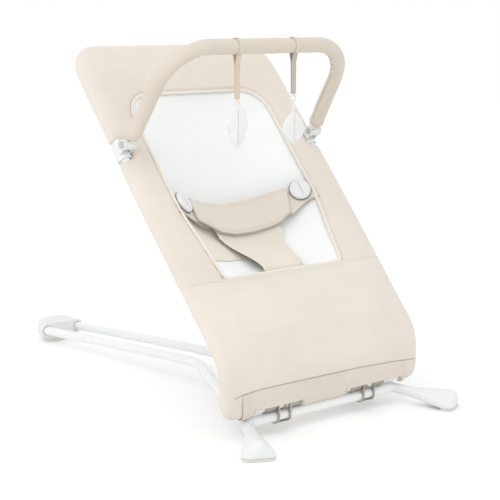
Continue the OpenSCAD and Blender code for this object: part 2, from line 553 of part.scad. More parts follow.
base_crossbar();
left_tail_tube();
right_tail_tube();
rear_foot();
rear_foot_pad();
left_leg();
right_leg();
left_foot_pad();
right_foot_pad();
leg_screws();
rear_foot_screws();
left_hinge_bracket();
right_hinge_bracket();
hinge_bushes();
left_lock_pin();
right_lock_pin();
left_lock_spring();
right_lock_spring();
left_lock_knob();
right_lock_knob();
seat_bottom_tube();
left_corner_tube();
right_corner_tube();
left_side_tube();
right_side_tube();
seat_top_bow();
frame_connectors();
frame_rivets();
left_quadrant();
right_quadrant();
left_hinge_collars();
right_hinge_collars();
head_panel();
left_side_bolster();
right_side_bolster();
lower_panel();
sling_panel();
crotch_panel();
waist_belt();
left_wing_strap();
right_wing_strap();
left_toggle();
right_toggle();
toggle_washers();
left_bar_clamp();
right_bar_clamp();
left_pivot_pin();
right_pivot_pin();
toy_bar_core();
toy_bar_sleeve();
left_bar_end();
right_bar_end();
left_toy_ribbon();
left_leaf_toy();
right_toy_ribbon();
right_toy_clip();
right_leaf_toy();
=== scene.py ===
import bpy, bmesh, math
import numpy as np
from mathutils import Vector, Matrix
from mathutils.bvhtree import BVHTree


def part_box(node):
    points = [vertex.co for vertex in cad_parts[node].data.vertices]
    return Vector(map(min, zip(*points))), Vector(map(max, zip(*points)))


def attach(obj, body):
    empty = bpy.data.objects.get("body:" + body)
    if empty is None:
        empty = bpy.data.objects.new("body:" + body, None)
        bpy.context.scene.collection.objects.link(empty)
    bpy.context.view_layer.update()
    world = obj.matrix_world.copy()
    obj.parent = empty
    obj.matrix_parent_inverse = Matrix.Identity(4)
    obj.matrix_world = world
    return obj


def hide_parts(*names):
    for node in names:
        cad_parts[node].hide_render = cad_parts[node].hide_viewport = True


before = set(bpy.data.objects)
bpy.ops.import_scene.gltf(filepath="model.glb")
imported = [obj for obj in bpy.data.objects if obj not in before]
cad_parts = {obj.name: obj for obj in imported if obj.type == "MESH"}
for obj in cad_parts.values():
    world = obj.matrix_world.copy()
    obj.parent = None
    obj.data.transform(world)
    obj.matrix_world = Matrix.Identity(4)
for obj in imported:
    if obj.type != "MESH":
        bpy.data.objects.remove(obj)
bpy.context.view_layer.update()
scene = bpy.context.scene
pi = math.pi

# ---------------------------------------------------------------- frame lines
_lo, _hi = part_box("seat_bottom_tube")
OY = -(_lo[1] + _hi[1]) * 500.0            # hinge line lies at Y = -OY
HZ = (_lo[2] + _hi[2]) * 500.0
TR = (_hi[2] - _lo[2]) * 500.0
_lo, _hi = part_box("left_side_tube")
SH = -(_lo[0] + _hi[0]) * 500.0            # half distance between the side tubes
CZ = sum(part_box("base_crossbar")[i][2] for i in (0, 1)) * 500.0
SL = math.radians(49.8)
TX, TZ = math.cos(SL), math.sin(SL)
KA = math.radians(40.2)
KR = 60.0
KNEE = HZ + 68.2
AY, AZ = 15.5 * TX, KNEE + 15.5 * TZ
SA = KR * math.tan(KA / 2) - 15.5          # the slope is straight above this s
SB = SA - KR * KA                          # and upright below this one
KZ = KNEE - KR * math.tan(KA / 2)
S0, S1 = 126.0, 472.0                      # opening of the sling
IX = 142.0
TOP = 564.0
RC = 46.0                                  # top corners of the opening


def ix(s):
    """Half width of the opening; it narrows below the belt."""
    u = min(1.0, max(0.0, (264 - s) / (264 - S0)))
    return IX - 21.0 * (u - 0.06 * math.sin(pi * min(1.0, 2 * u))) if u > 0 else IX




def prof(s):
    """y, z, front normal and tangent of the seat surface line at s."""
    if s >= SA:
        return AY + s * TX, AZ + s * TZ, (-TZ, TX), (TX, TZ)
    if s > SB:
        w = KA - (SA - s) / KR
        return KR - KR * math.cos(w), KZ + KR * math.sin(w), (-math.cos(w), math.sin(w)), (math.sin(w), math.cos(w))
    return 0.0, KZ + (s - SB), (-1.0, 0.0), (0.0, 1.0)


def s_of_z(z):
    """s of a height on the upright part."""
    return SB + (z - KZ)


def W(x, s, o=0.0):
    y, z, n, _ = prof(s)
    return Vector((x, y + o * n[0], z + o * n[1]))


def front_n(s):
    n = prof(s)[2]
    return Vector((0, n[0], n[1]))


def smooth(a, b, x):
    t = min(1.0, max(0.0, (x - a) / (b - a)))
    return t * t * (3 - 2 * t)


def lerp(a, b, t):
    return a + (b - a) * t


def M(v):
    return Vector((v[0] / 1000, (v[1] - OY) / 1000, v[2] / 1000))


# ---------------------------------------------------------------- mesh helpers
def new_mesh(name, verts, faces, smooth_shade=True):
    me = bpy.data.meshes.new(name)
    me.from_pydata([tuple(M(v)) for v in verts], [], faces)
    bm = bmesh.new()
    bm.from_mesh(me)
    bmesh.ops.remove_doubles(bm, verts=bm.verts, dist=1e-6)
    bmesh.ops.dissolve_degenerate(bm, edges=bm.edges, dist=1e-7)
    bmesh.ops.recalc_face_normals(bm, faces=bm.faces)
    bm.to_mesh(me)
    bm.free()
    if smooth_shade:
        me.polygons.foreach_set("use_smooth", [True] * len(me.polygons))
    o = bpy.data.objects.new(name, me)
    scene.collection.objects.link(o)
    return o


def dress(o, body, mat, slot_name, *replaced):
    o.data.materials.clear()
    o.data.materials.append(mat)
    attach(o, body)
    if replaced:
        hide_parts(*replaced)
    return o


def loft(loops, closed=True, caps=(True, True)):
    n = len(loops[0])
    verts = [p for L in loops for p in L]
    faces = []
    for j in range(len(loops) - 1):
        for i in range(n if closed else n - 1):
            a, b = j * n + i, j * n + (i + 1) % n
            faces.append((a, b, b + n, a + n))
    if closed and caps[0]:
        faces.append(tuple(range(n))[::-1])
    if closed and caps[1]:
        faces.append(tuple((len(loops) - 1) * n + i for i in range(n)))
    return verts, faces


def frames_along(pts, up=Vector((0, 0, 1)), closed=False):
    n = len(pts)
    out = []
    prev = None
    for i in range(n):
        if closed:
            d = pts[(i + 1) % n] - pts[i - 1]
        else:
            d = pts[min(i + 1, n - 1)] - pts[max(i - 1, 0)]
        d.normalize()
        ref = prev if prev is not None else up
        if abs(ref.dot(d)) > 0.98:
            ref = Vector((1, 0, 0)) if abs(d.x) < 0.9 else Vector((0, 1, 0))
        a = (ref - d * ref.dot(d)).normalized()
        b = d.cross(a)
        out.append((d, a, b))
        prev = a
    return out


def sweep(pts, radius, sides=16, closed=False, up=Vector((0, 0, 1)), round_ends=True):
    """A tube along pts; radius is a number or a function of (share of length, angle)."""
    pts = [Vector(p) for p in pts]
    L = [0.0]
    for a, b in zip(pts, pts[1:]):
        L.append(L[-1] + (b - a).length)
    tot = L[-1] or 1.0
    fr = frames_along(pts, up, closed)
    r = radius if callable(radius) else (lambda u, t: radius)
    loops = []
    for i, p in enumerate(pts):
        d, a, b = fr[i]
        loops.append([p + (a * math.cos(t) + b * math.sin(t)) * r(L[i] / tot, t)
                      for t in (2 * pi * k / sides for k in range(sides))])
    if closed:
        v, f = loft(loops, caps=(False, False))
        n = len(loops)
        for i in range(sides):
            a, b = (n - 1) * sides + i, (n - 1) * sides + (i + 1) % sides
            f.append((a, b, (i + 1) % sides, i))
        return v, f
    if round_ends:
        def cap(i, sign):
            d, a, b = fr[i]
            res = []
            for w in (30, 60, 82):
                c, s = math.cos(math.radians(w)), math.sin(math.radians(w))
                rr = r(0 if i == 0 else 1, 0) * 0.55
                res.append([pts[i] + sign * d * rr * s + (a * math.cos(t) + b * math.sin(t)) * r(0 if i == 0 else 1, t) * c
                            for t in (2 * pi * k / sides for k in range(sides))])
            return res
        loops = cap(0, -1)[::-1] + loops + cap(len(pts) - 1, 1)
    return loft(loops)


def lathe(profile, sides=48):
    """profile of (r, h) points about z, closed at both ends on the axis."""
    loops = [[Vector((r * math.cos(2 * pi * k / sides), r * math.sin(2 * pi * k / sides), h)) for k in range(sides)]
             for r, h in profile if r > 1e-6]
    return loft(loops)


def merge(*parts):
    V, F = [], []
    for v, f in parts:
        k = len(V)
        V += list(v)
        F += [tuple(i + k for i in g) for g in f]
    return V, F


def xf(part, mat):
    v, f = part
    return [mat @ Vector(p) for p in v], f


def basis(origin, x, y, z):
    m = Matrix.Identity(4)
    for c, a in enumerate((x, y, z)):
        for r in range(3):
            m[r][c] = a[r]
    for r in range(3):
        m[r][3] = origin[r]
    return m


def round_path(corners, radii, n=10):
    """Polyline with rounded corners."""
    out = [Vector(corners[0])]
    for i in range(1, len(corners) - 1):
        p, q, t = (Vector(corners[k]) for k in (i - 1, i, i + 1))
        a, b = (q - p).normalized(), (t - q).normalized()
        w = a.angle(b)
        if w < 1e-4 or radii[i - 1] <= 0:
            out.append(q)
            continue
        k = radii[i - 1] * math.tan(w / 2)
        m = (b - a * a.dot(b)).normalized()
        c = q - a * k + m * radii[i - 1]
        for j in range(n + 1):
            g = w * j / n
            out.append(c + radii[i - 1] * (math.sin(g) * a - math.cos(g) * m))
    out.append(Vector(corners[-1]))
    return out


def resample(pts, step, closed=False):
    pts = [Vector(p) for p in pts]
    if closed:
        pts.append(pts[0].copy())
    L = [0.0]
    for a, b in zip(pts, pts[1:]):
        L.append(L[-1] + (b - a).length)
    n = max(2, int(round(L[-1] / step)))
    out, j = [], 0
    for i in range(n if closed else n + 1):
        d = L[-1] * i / n
        while j < len(L) - 2 and L[j + 1] < d:
            j += 1
        t = (d - L[j]) / max(1e-9, L[j + 1] - L[j])
        out.append(pts[j].lerp(pts[j + 1], t))
    return out


def apply_mods(o):
    dg = bpy.context.evaluated_depsgraph_get()
    ev = o.evaluated_get(dg)
    me = bpy.data.meshes.new_from_object(ev)
    old = o.data
    mats = [m for m in old.materials]
    o.modifiers.clear()
    o.data = me
    me.materials.clear()
    for m in mats:
        me.materials.append(m)
    me.polygons.foreach_set("use_smooth", [True] * len(me.polygons))


def subsurf(o, levels=1):
    m = o.modifiers.new("sub", "SUBSURF")
    m.levels = m.render_levels = levels
    return o


def tree(o):
    dg = bpy.context.evaluated_depsgraph_get()
    return BVHTree.FromObject(o, dg)


def drop(tr, x, s, lift=0.0, high=60.0, low_ok=True):
    """The front surface of a piece over the seat point (x, s), in fit-frame millimetres."""
    n = front_n(s)
    hit = tr.ray_cast(M(W(x, s, high)), -n, (high + 60) / 1000)
    if hit[0] is None:
        return W(x, s, 6) if low_ok else None
    p = hit[0]
    return Vector((p.x * 1000, p.y * 1000 + OY, p.z * 1000)) + n * lift


def inflate(o, voxel, cap, pin, pressure=4.0, grow=0.0, frames=20, smooth_after=4):
    """Padded fabric: remesh, blow up a little as cloth, limit the movement."""
    m = o.modifiers.new("r", "REMESH")
    m.mode = "VOXEL"
    m.voxel_size = voxel
    m.adaptivity = 0.0
    apply_mods(o)
    sm = o.modifiers.new("s", "SMOOTH")
    sm.factor = 0.5
    sm.iterations = 4
    apply_mods(o)
    me = o.data
    n = len(me.vertices)
    co0 = np.zeros(n * 3)
    me.vertices.foreach_get("co", co0)
    co0 = co0.reshape(-1, 3)
    w = np.array([pin(Vector((p[0] * 1000, p[1] * 1000 + OY, p[2] * 1000))) for p in co0])
    vg = o.vertex_groups.new(name="pin")
    for i in range(n):
        if w[i] > 0:
            vg.add([i], float(w[i]), "REPLACE")
    c = o.modifiers.new("c", "CLOTH")
    s = c.settings
    s.quality = 5
    s.mass = 0.3
    s.tension_stiffness = 12
    s.compression_stiffness = 12
    s.shear_stiffness = 4
    s.bending_stiffness = 0.4
    s.use_pressure = True
    s.uniform_pressure_force = pressure
    s.vertex_group_mass = "pin"
    s.shrink_min = -grow
    s.shrink_max = -grow
    s.effector_weights.gravity = 0
    c.collision_settings.use_collision = False
    c.collision_settings.use_self_collision = False
    c.point_cache.frame_start = 1
    c.point_cache.frame_end = frames
    for f in range(1, frames + 1):
        scene.frame_set(f)
    ev = o.evaluated_get(bpy.context.evaluated_depsgraph_get())
    co1 = np.zeros(n * 3)
    ev.data.vertices.foreach_get("co", co1)
    co1 = co1.reshape(-1, 3)
    o.modifiers.clear()
    scene.frame_set(1)
    d = co1 - co0
    L = np.linalg.norm(d, axis=1, keepdims=True)
    k = np.minimum(1.0, cap / np.maximum(L, 1e-9))
    me.vertices.foreach_set("co", (co0 + d * k).ravel())
    me.update()
    o.vertex_groups.clear()
    sm = o.modifiers.new("s", "SMOOTH")
    sm.factor = 0.5
    sm.iterations = smooth_after
    apply_mods(o)
    subsurf(o, 1)
    return o


# ---------------------------------------------------------------- materials
def lin(c):
    return tuple(((v / 255) / 12.92 if v / 255 <= 0.04045 else (((v / 255) + 0.055) / 1.055) ** 2.4) for v in c) + (1.0,)


class Nodes:
    def __init__(self, name):
        self.mat = bpy.data.materials.new(name)
        self.mat.use_nodes = True
        self.t = self.mat.node_tree
        self.t.nodes.clear()
        self.out = self.t.nodes.new("ShaderNodeOutputMaterial")
        self.b = self.t.nodes.new("ShaderNodeBsdfPrincipled")
        self.t.links.new(self.b.outputs[0], self.out.inputs[0])
        self.co = self.t.nodes.new("ShaderNodeTexCoord")

    def n(self, kind, **kw):
        node = self.t.nodes.new(kind)
        for k, v in kw.items():
            if k.startswith("i_"):
                node.inputs[k[2:].replace("_", " ")].default_value = v
            else:
                setattr(node, k, v)
        return node

    def l(self, a, b):
        self.t.links.new(a, b)

    def mapped(self, rot=(0, 0, 0), scale=(1, 1, 1)):
        m = self.n("ShaderNodeMapping")
        m.inputs["Rotation"].default_value = rot
        m.inputs["Scale"].default_value = scale
        self.l(self.co.outputs["Object"], m.inputs["Vector"])
        return m.outputs["Vector"]

    def noise(self, vec, scale, detail=3.0, rough=0.5, distort=0.0):
        n = self.n("ShaderNodeTexNoise")
        n.inputs["Scale"].default_value = scale
        n.inputs["Detail"].default_value = detail
        n.inputs["Roughness"].default_value = rough
        n.inputs["Distortion"].default_value = distort
        self.l(vec, n.inputs["Vector"])
        return n.outputs["Fac"]

    def ramp(self, fac, a, b, lo=0.3, hi=0.7):
        r = self.n("ShaderNodeValToRGB")
        e = r.color_ramp.elements
        e[0].position, e[1].position = lo, hi
        e[0].color, e[1].color = a, b
        self.l(fac, r.inputs["Fac"])
        return r.outputs["Color"]

    def mapr(self, fac, a, b):
        r = self.n("ShaderNodeMapRange")
        r.inputs["To Min"].default_value = a
        r.inputs["To Max"].default_value = b
        self.l(fac, r.inputs["Value"])
        return r.outputs["Result"]

    def wave(self, vec, scale, direction="X", distortion=0.0, detail=0.0):
        w = self.n("ShaderNodeTexWave")
        w.wave_type = "BANDS"
        w.bands_direction = direction
        w.inputs["Scale"].default_value = scale
        w.inputs["Distortion"].default_value = distortion
        w.inputs["Detail"].default_value = detail
        w.inputs["Detail Scale"].default_value = 2.0
        self.l(vec, w.inputs["Vector"])
        return w.outputs["Fac"]

    def math(self, op, a, b):
        m = self.n("ShaderNodeMath", operation=op)
        for i, v in enumerate((a, b)):
            if isinstance(v, (int, float)):
                m.inputs[i].default_value = v
            else:
                self.l(v, m.inputs[i])
        return m.outputs[0]

    def bump(self, height, strength, dist, prev=None):
        b = self.n("ShaderNodeBump")
        b.inputs["Strength"].default_value = strength
        b.inputs["Distance"].default_value = dist
        self.l(height, b.inputs["Height"])
        if prev is not None:
            self.l(prev, b.inputs["Normal"])
        return b.outputs["Normal"]


def cloth_mat(name, rgb, vary=0.035, pitch=0.0011, sheen=0.25, rough=(0.78, 0.92), rot=(SL, 0, 0), wrinkle=0.5, weave=0.35, melange=0.02):
    """Woven cotton: crossed threads, a mottled dye, soft creases."""
    N = Nodes(name)
    v = N.mapped(rot=(-rot[0], -rot[1], -rot[2]))
    sc = 2 * pi / (20 * pitch)
    w1 = N.wave(v, sc, "X", 0.4, 1.0)
    w2 = N.wave(v, sc, "Y", 0.4, 1.0)
    w3 = N.wave(v, sc, "Z", 0.4, 1.0)
    weave_h = N.math("MAXIMUM", N.math("MAXIMUM", w1, w2), N.math("MULTIPLY", w3, 0.9))
    big = N.noise(v, 9.0, 3.0, 0.55, 0.3)
    fine = N.noise(v, 900.0, 2.0, 0.6)
    dark = tuple(c * (1 - vary) for c in lin(rgb)[:3]) + (1,)
    light = tuple(min(1, c * (1 + vary * 0.6)) for c in lin(rgb)[:3]) + (1,)
    base = N.ramp(big, dark, light, 0.32, 0.68)
    mix = N.n("ShaderNodeMix", data_type="RGBA", blend_type="MULTIPLY")
    mix.inputs["Factor"].default_value = 1.0
    thread = N.ramp(N.math("MULTIPLY", N.math("ADD", weave_h, fine), 0.5), (1 - melange * 3,) * 3 + (1,), (1, 1, 1, 1), 0.25, 0.6)
    N.l(base, mix.inputs["A"])
    N.l(thread, mix.inputs["B"])
    N.l(mix.outputs["Result"], N.b.inputs["Base Color"])
    N.l(N.mapr(fine, rough[0], rough[1]), N.b.inputs["Roughness"])
    crease = N.noise(v, 26.0, 4.0, 0.5, 0.8)
    nb = N.bump(crease, wrinkle, 0.0016)
    nb = N.bump(weave_h, weave, 0.00022, nb)
    N.l(nb, N.b.inputs["Normal"])
    N.b.inputs["Sheen Weight"].default_value = sheen
    N.b.inputs["Sheen Roughness"].default_value = 0.45
    N.b.inputs["Specular IOR Level"].default_value = 0.25
    return N.mat


def knit_mat(name, rgb, vary=0.02, pitch=0.0016, rot=(SL, 0, 0), strength=0.22):
    """Open knit: small rounded cells."""
    N = Nodes(name)
    v = N.mapped(rot=(-rot[0], 0, 0))
    vo = N.n("ShaderNodeTexVoronoi")
    vo.inputs["Scale"].default_value = 1.0 / pitch
    vo.inputs["Randomness"].default_value = 1.0
    N.l(v, vo.inputs["Vector"])
    big = N.noise(v, 11.0, 3.0)
    dark = tuple(c * (1 - vary) for c in lin(rgb)[:3]) + (1,)
    base = N.ramp(big, dark, lin(rgb), 0.3, 0.7)
    mix = N.n("ShaderNodeMix", data_type="RGBA", blend_type="MULTIPLY")
    mix.inputs["Factor"].default_value = 1.0
    cell = N.ramp(vo.outputs["Distance"], (1, 1, 1, 1), (0.95, 0.95, 0.94, 1), 0.25, 0.75)
    N.l(base, mix.inputs["A"])
    N.l(cell, mix.inputs["B"])
    N.l(mix.outputs["Result"], N.b.inputs["Base Color"])
    N.l(N.mapr(N.noise(v, 600.0), 0.75, 0.9), N.b.inputs["Roughness"])
    nb = N.bump(N.noise(v, 30.0, 3.0), 0.35, 0.0012)
    inv = N.math("SUBTRACT", 1.0, vo.outputs["Distance"])
    nb = N.bump(inv, strength, 0.0003, nb)
    N.l(nb, N.b.inputs["Normal"])
    N.b.inputs["Sheen Weight"].default_value = 0.2
    N.b.inputs["Specular IOR Level"].default_value = 0.25
    return N.mat


def plastic_mat(name, rgb, rough=(0.28, 0.42), grain=0.12, vary=0.02, coat=0.0, scale=900.0, sss=0.0):
    N = Nodes(name)
    v = N.mapped()
    big = N.noise(v, 22.0, 3.0)
    dark = tuple(c * (1 - vary) for c in lin(rgb)[:3]) + (1,)
    N.l(N.ramp(big, dark, lin(rgb), 0.3, 0.7), N.b.inputs["Base Color"])
    N.l(N.mapr(N.noise(v, 140.0, 3.0), rough[0], rough[1]), N.b.inputs["Roughness"])
    N.l(N.bump(N.noise(v, scale, 2.0), grain, 0.0001), N.b.inputs["Normal"])
    if coat:
        N.b.inputs["Coat Weight"].default_value = coat
        N.b.inputs["Coat Roughness"].default_value = 0.12
    return N.mat


def metal_mat(name, rgb, rough=(0.3, 0.45), metallic=1.0, brushed=0.25):
    N = Nodes(name)
    v = N.mapped(scale=(1, 1, 1))
    big = N.noise(v, 60.0, 4.0)
    dark = tuple(c * 0.9 for c in lin(rgb)[:3]) + (1,)
    N.l(N.ramp(big, dark, lin(rgb), 0.3, 0.7), N.b.inputs["Base Color"])
    N.l(N.mapr(N.noise(v, 300.0, 3.0), rough[0], rough[1]), N.b.inputs["Roughness"])
    st = N.n("ShaderNodeMapping")
    st.inputs["Scale"].default_value = (1.0, 30.0, 30.0)
    N.l(N.co.outputs["Object"], st.inputs["Vector"])
    N.l(N.bump(N.noise(st.outputs["Vector"], 60.0, 3.0), brushed, 0.00008), N.b.inputs["Normal"])
    N.b.inputs["Metallic"].default_value = metallic
    return N.mat


COVER = cloth_mat("cover_cotton", (223, 214, 204), wrinkle=0.45)
COVER_LOW = cloth_mat("cover_cotton_lower", (223, 215, 205), wrinkle=0.45)
HEM = cloth_mat("hem_cotton", (216, 207, 196), wrinkle=0.4)
PIPE = cloth_mat("piping_cotton", (229, 223, 214), pitch=0.0009, wrinkle=0.3)
SLING = knit_mat("sling_mesh", (241, 243, 243))
# painted shade: darker beige cloth for the sheet that stands in for the belt's shadow on the sling
SHADE = cloth_mat("painted_belt_shadow_cloth", (228, 223, 210), wrinkle=0.3)
BELT = cloth_mat("belt_cotton", (217, 209, 197), pitch=0.0012, wrinkle=0.35)
# dark cord colour for the belt and wing bindings and the toy bar seam; also a painted shadow line along the hem crease
DARK_CORD_AND_CREASE_SHADOW = cloth_mat("dark_cord_and_crease_shadow", (180, 171, 158), pitch=0.0009, wrinkle=0.2)
FLAP = cloth_mat("flap_cotton", (224, 217, 204), wrinkle=0.45)
THREAD = cloth_mat("thread", (232, 227, 219), pitch=0.0005, wrinkle=0.1)
SLEEVE = cloth_mat("bar_sleeve_jersey", (212, 203, 189), pitch=0.0010, wrinkle=0.7, rot=(0, 0, 0))
RIB_L = cloth_mat("ribbon_sand", (217, 198, 179), pitch=0.0008, rot=(0, 0, 0), wrinkle=0.2)
RIB_R = cloth_mat("ribbon_grey", (186, 180, 171), pitch=0.0008, rot=(0, 0, 0), wrinkle=0.2)
PLUSH = cloth_mat("toy_plush", (233, 233, 231), pitch=0.0014, rot=(0, 0, 0), wrinkle=0.6, sheen=0.5)
# darker than the plush: thread colour plus painted groove shade along the midrib
VEIN_THREAD_AND_SHADE = cloth_mat("toy_vein_thread_and_groove_shade", (212, 209, 204), pitch=0.0006, rot=(0, 0, 0), wrinkle=0.1)
PAINT = plastic_mat("white_paint", (233, 235, 234), rough=(0.2, 0.32), grain=0.06, coat=0.35)
PLASTIC = plastic_mat("white_plastic", (226, 228, 227), rough=(0.32, 0.46))
TOGGLE = plastic_mat("toggle_plastic", (222, 222, 222), rough=(0.16, 0.26), grain=0.04, coat=0.4)
# dark grey of the toggle base ring, darkened further as painted shadow under the discs
TOGGLE_BASE_AND_SHADE = plastic_mat("toggle_base_grey_and_shade", (128, 121, 110), rough=(0.35, 0.5))
RUBBER = plastic_mat("grip_rubber", (222, 219, 212), rough=(0.6, 0.8), grain=0.4, vary=0.06)
STEEL = metal_mat("bracket_steel", (176, 170, 160), metallic=0.75, rough=(0.38, 0.52))
BRIGHT = metal_mat("fastener_steel", (206, 206, 206), rough=(0.25, 0.4))
KNOB = plastic_mat("knob_plastic", (172, 167, 158), rough=(0.4, 0.55))
BUSH = plastic_mat("bush_nylon", (214, 214, 210), rough=(0.4, 0.55))


def finish_cad(mat, *nodes, bevel=0.0, segments=2):
    for n in nodes:
        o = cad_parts[n]
        if not o.data.materials:
            o.data.materials.append(mat)
        for i in range(len(o.data.materials)):
            o.data.materials[i] = mat
        for p in o.material_slots:
            p.material = mat
        if bevel:
            b = o.modifiers.new("edge", "BEVEL")
            b.width = bevel
            b.segments = segments
            b.limit_method = "ANGLE"
            b.angle_limit = math.radians(40)
            b.harden_normals = False


# ---------------------------------------------------------------- CAD pieces that stay
finish_cad(PAINT, "base_crossbar", "seat_bottom_tube", "left_corner_tube", "right_corner_tube",
           "left_side_tube", "right_side_tube", "seat_top_bow")
finish_cad(RUBBER, "rear_foot_pad", "left_foot_pad", "right_foot_pad")
finish_cad(BRIGHT, "leg_screws", "rear_foot_screws", "left_lock_pin", "right_lock_pin", "left_lock_spring",
           "right_lock_spring", "frame_connectors", "frame_rivets", "left_pivot_pin", "right_pivot_pin", "toy_bar_core")
finish_cad(STEEL, "left_hinge_bracket", "right_hinge_bracket", "left_quadrant", "right_quadrant")
finish_cad(KNOB, "left_lock_knob", "right_lock_knob")
finish_cad(STEEL, *[n for n in ("left_hinge_collars", "right_hinge_collars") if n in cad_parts])
finish_cad(BUSH, "hinge_bushes")
finish_cad(TOGGLE_BASE_AND_SHADE, "toggle_washers")
finish_cad(PLASTIC, "left_bar_clamp", "right_bar_clamp", "left_bar_end", "right_bar_end", bevel=0.0012, segments=3)

# ---------------------------------------------------------------- base: smooth tail tubes, legs, rear foot
def tail_points(side):
    d = Vector((34 - 150, 252, 19)).normalized()
    end = Vector((150, 10, 28)) + 22 * d
    foot = Vector((34, 740 - 12, 21.5))
    pts = round_path([foot, Vector((34, 400, 41)), Vector((34, 262, 47)), end], [600, 90], 18)
    pts = [foot + (foot - pts[1]).normalized() * 0.0] + pts[1:]
    return [Vector((side * p.x, p.y, p.z)) for p in pts]


for side, nm in ((-1, "left"), (1, "right")):
    pts = resample(tail_points(side), 12)
    o = new_mesh(nm + "_tail_rail", *sweep(pts, TR, 32, round_ends=False))
    dress(o, "base", PAINT, "painted_tube", nm + "_tail_tube")


def moulded(node, name, body, mat, slot_name, voxel, iters, keep_z=True):
    """A soft-edged moulding blended from the CAD solid."""
    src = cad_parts[node]
    me = src.data.copy()
    o = bpy.data.objects.new(name, me)
    scene.collection.objects.link(o)
    o.matrix_world = src.matrix_world.copy()
    lo_, hi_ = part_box(node)
    r = o.modifiers.new("r", "REMESH")
    r.mode = "VOXEL"
    r.voxel_size = voxel
    s_ = o.modifiers.new("s", "LAPLACIANSMOOTH") if False else o.modifiers.new("s", "SMOOTH")
    s_.factor = 0.5
    s_.iterations = iters
    apply_mods(o)
    co = np.zeros(len(o.data.vertices) * 3)
    o.data.vertices.foreach_get("co", co)
    co = co.reshape(-1, 3)
    for a in range(3):
        co[:, a] = np.clip(co[:, a], lo_[a], hi_[a])
    o.data.vertices.foreach_set("co", co.ravel())
    o.data.update()
    d = o.modifiers.new("d", "DECIMATE")
    d.ratio = 0.5
    apply_mods(o)
    dress(o, body, mat, slot_name, node)
    return o


moulded("left_leg", "left_leg_moulding", "base", PLASTIC, "white_plastic", 0.0011, 10)
moulded("right_leg", "right_leg_moulding", "base", PLASTIC, "white_plastic", 0.0011, 10)
moulded("rear_foot", "rear_foot_moulding", "base", PLASTIC, "white_plastic", 0.0011, 8)

# ---------------------------------------------------------------- cover: bolsters and head panel in one
RIM = 10.4


def ray_out(q, d):
    """Where a ray from q leaves the tube line of the head corner, with the outward normal."""
    c = Vector((-SH + 40, TOP - 40))

    def inside(p):
        if p.x < -SH or p.y > TOP:
            return False
        if p.x < c.x and p.y > c.y:
            return (p - c).length < 40
        return True
    a, b = 0.0, 260.0
    for _ in range(40):
        m = (a + b) / 2
        if inside(q + m * d):
            a = m
        else:
            b = m
    p = q + a * d
    if p.x < c.x and p.y > c.y:
        return p, (p - c).normalized()
    if p.x <= -SH + 0.5:
        return p, Vector((-1, 0))
    return p, Vector((0, 1))


st = []
ss = sorted(set([S0 - 6 + (S1 - RC - S0 + 6) * i / 45 for i in range(46)] + [350.2, 351.2, 384.8, 385.8]))
for s in ss:
    st.append((Vector((-SH, s)), Vector((-1, 0)), Vector((-ix(s), s)), Vector((1, 0)), s))
Q = Vector((-IX + RC, S1 - RC))
for i in range(1, 44):
    th = math.radians(180 - 90 * i / 44)
    d = Vector((math.cos(th), math.sin(th)))
    p, nrm = ray_out(Q, d)
    st.append((p, nrm, Q + RC * d, -d, p.y))
for i in range(0, 12):
    x = Q.x * (1 - i / 12)
    st.append((Vector((x, TOP)), Vector((0, 1)), Vector((x, S1)), Vector((0, -1)), TOP))
mid = [(Vector((0, TOP)), Vector((0, 1)), Vector((0, S1)), Vector((0, -1)), TOP)]
mir = [(Vector((-a.x, a.y)), Vector((-b.x, b.y)), Vector((-c.x, c.y)), Vector((-d.x, d.y)), e) for a, b, c, d, e in st[::-1]]
stations = st + mid + mir


def rim_bow(s):
    return 4.6 * max(0.0, math.sin(pi * min(1, max(0, (s - 60) / 470)))) ** 0.8 if s < 530 else 0.0


def upper_loop(C, N_, I, Mn, s):
    pts = []
    bow = rim_bow(s) * max(0.0, abs(N_.x))
    for k in range(13):
        f = pi / 2 - pi * k / 12
        pts.append((C + N_ * (RIM + bow) * math.cos(f), RIM * math.sin(f)))
    ti, tb, re = 6.5, -4.5, 5.0
    lap = 0.5 * (1 - smooth(S0 + 2, S0 + 14, s))
    E = I - Mn * re
    for k in range(1, 13):
        t = k / 12.5
        pts.append((C.lerp(E, t), lerp(-RIM, tb, t) - 2.5 * math.sin(pi * t)))
    for k in range(7):
        f = -pi / 2 + pi * k / 6
        pts.append((E + Mn * re * math.cos(f), (ti + tb) / 2 + (ti - tb) / 2 * math.sin(f)))
    for k in range(1, 13):
        t = 1 - k / 12.5
        pts.append((C.lerp(E, t), lerp(RIM, ti, t) + 3.0 * math.sin(pi * t) ** 0.8))
    out = []
    for p, o_ in pts:
        x, sv = p.x, p.y
        if 350.9 < s < 385.1:
            x = max(-181.4, min(181.4, x))
        if lap > 0:
            x += (lap if x > 0 else -lap) * smooth(IX, IX + 20, abs(x))
            o_ += lap if o_ > 0 else -lap
        out.append(W(x, sv, o_))
    return out


v, f = loft([upper_loop(*q) for q in stations])
upper = new_mesh("cover_upper", v, f)


def xso(p):
    """(x, s, o) of a point on the slope."""
    dy, dz = p.y - AY, p.z - AZ
    return p.x, dy * TX + dz * TZ, -dy * TZ + dz * TX


def pin_upper(p):
    x, s, o_ = xso(p)
    edge = min(abs(abs(x) - ix(s)), 99) if s < S1 else 99
    if s > S1 - RC:
        edge = min(edge, abs(s - S1) if abs(x) < IX - RC else 99)
        if abs(x) > IX - RC and s > S1 - RC:
            edge = min(edge, abs(math.hypot(abs(x) - IX + RC, s - S1 + RC) - RC))
    w = 0.0
    if o_ < 2:
        w = 1.0
    w = max(w, 1 - smooth(4, 16, edge))
    w = max(w, 1 - smooth(2, 14, s - S0))
    if abs(s - 368) < 24 and abs(x) > 172:
        w = 1.0
    if abs(x) > SH + 4 or s > TOP + 4:
        w = max(w, 0.75)
    return min(1.0, w)


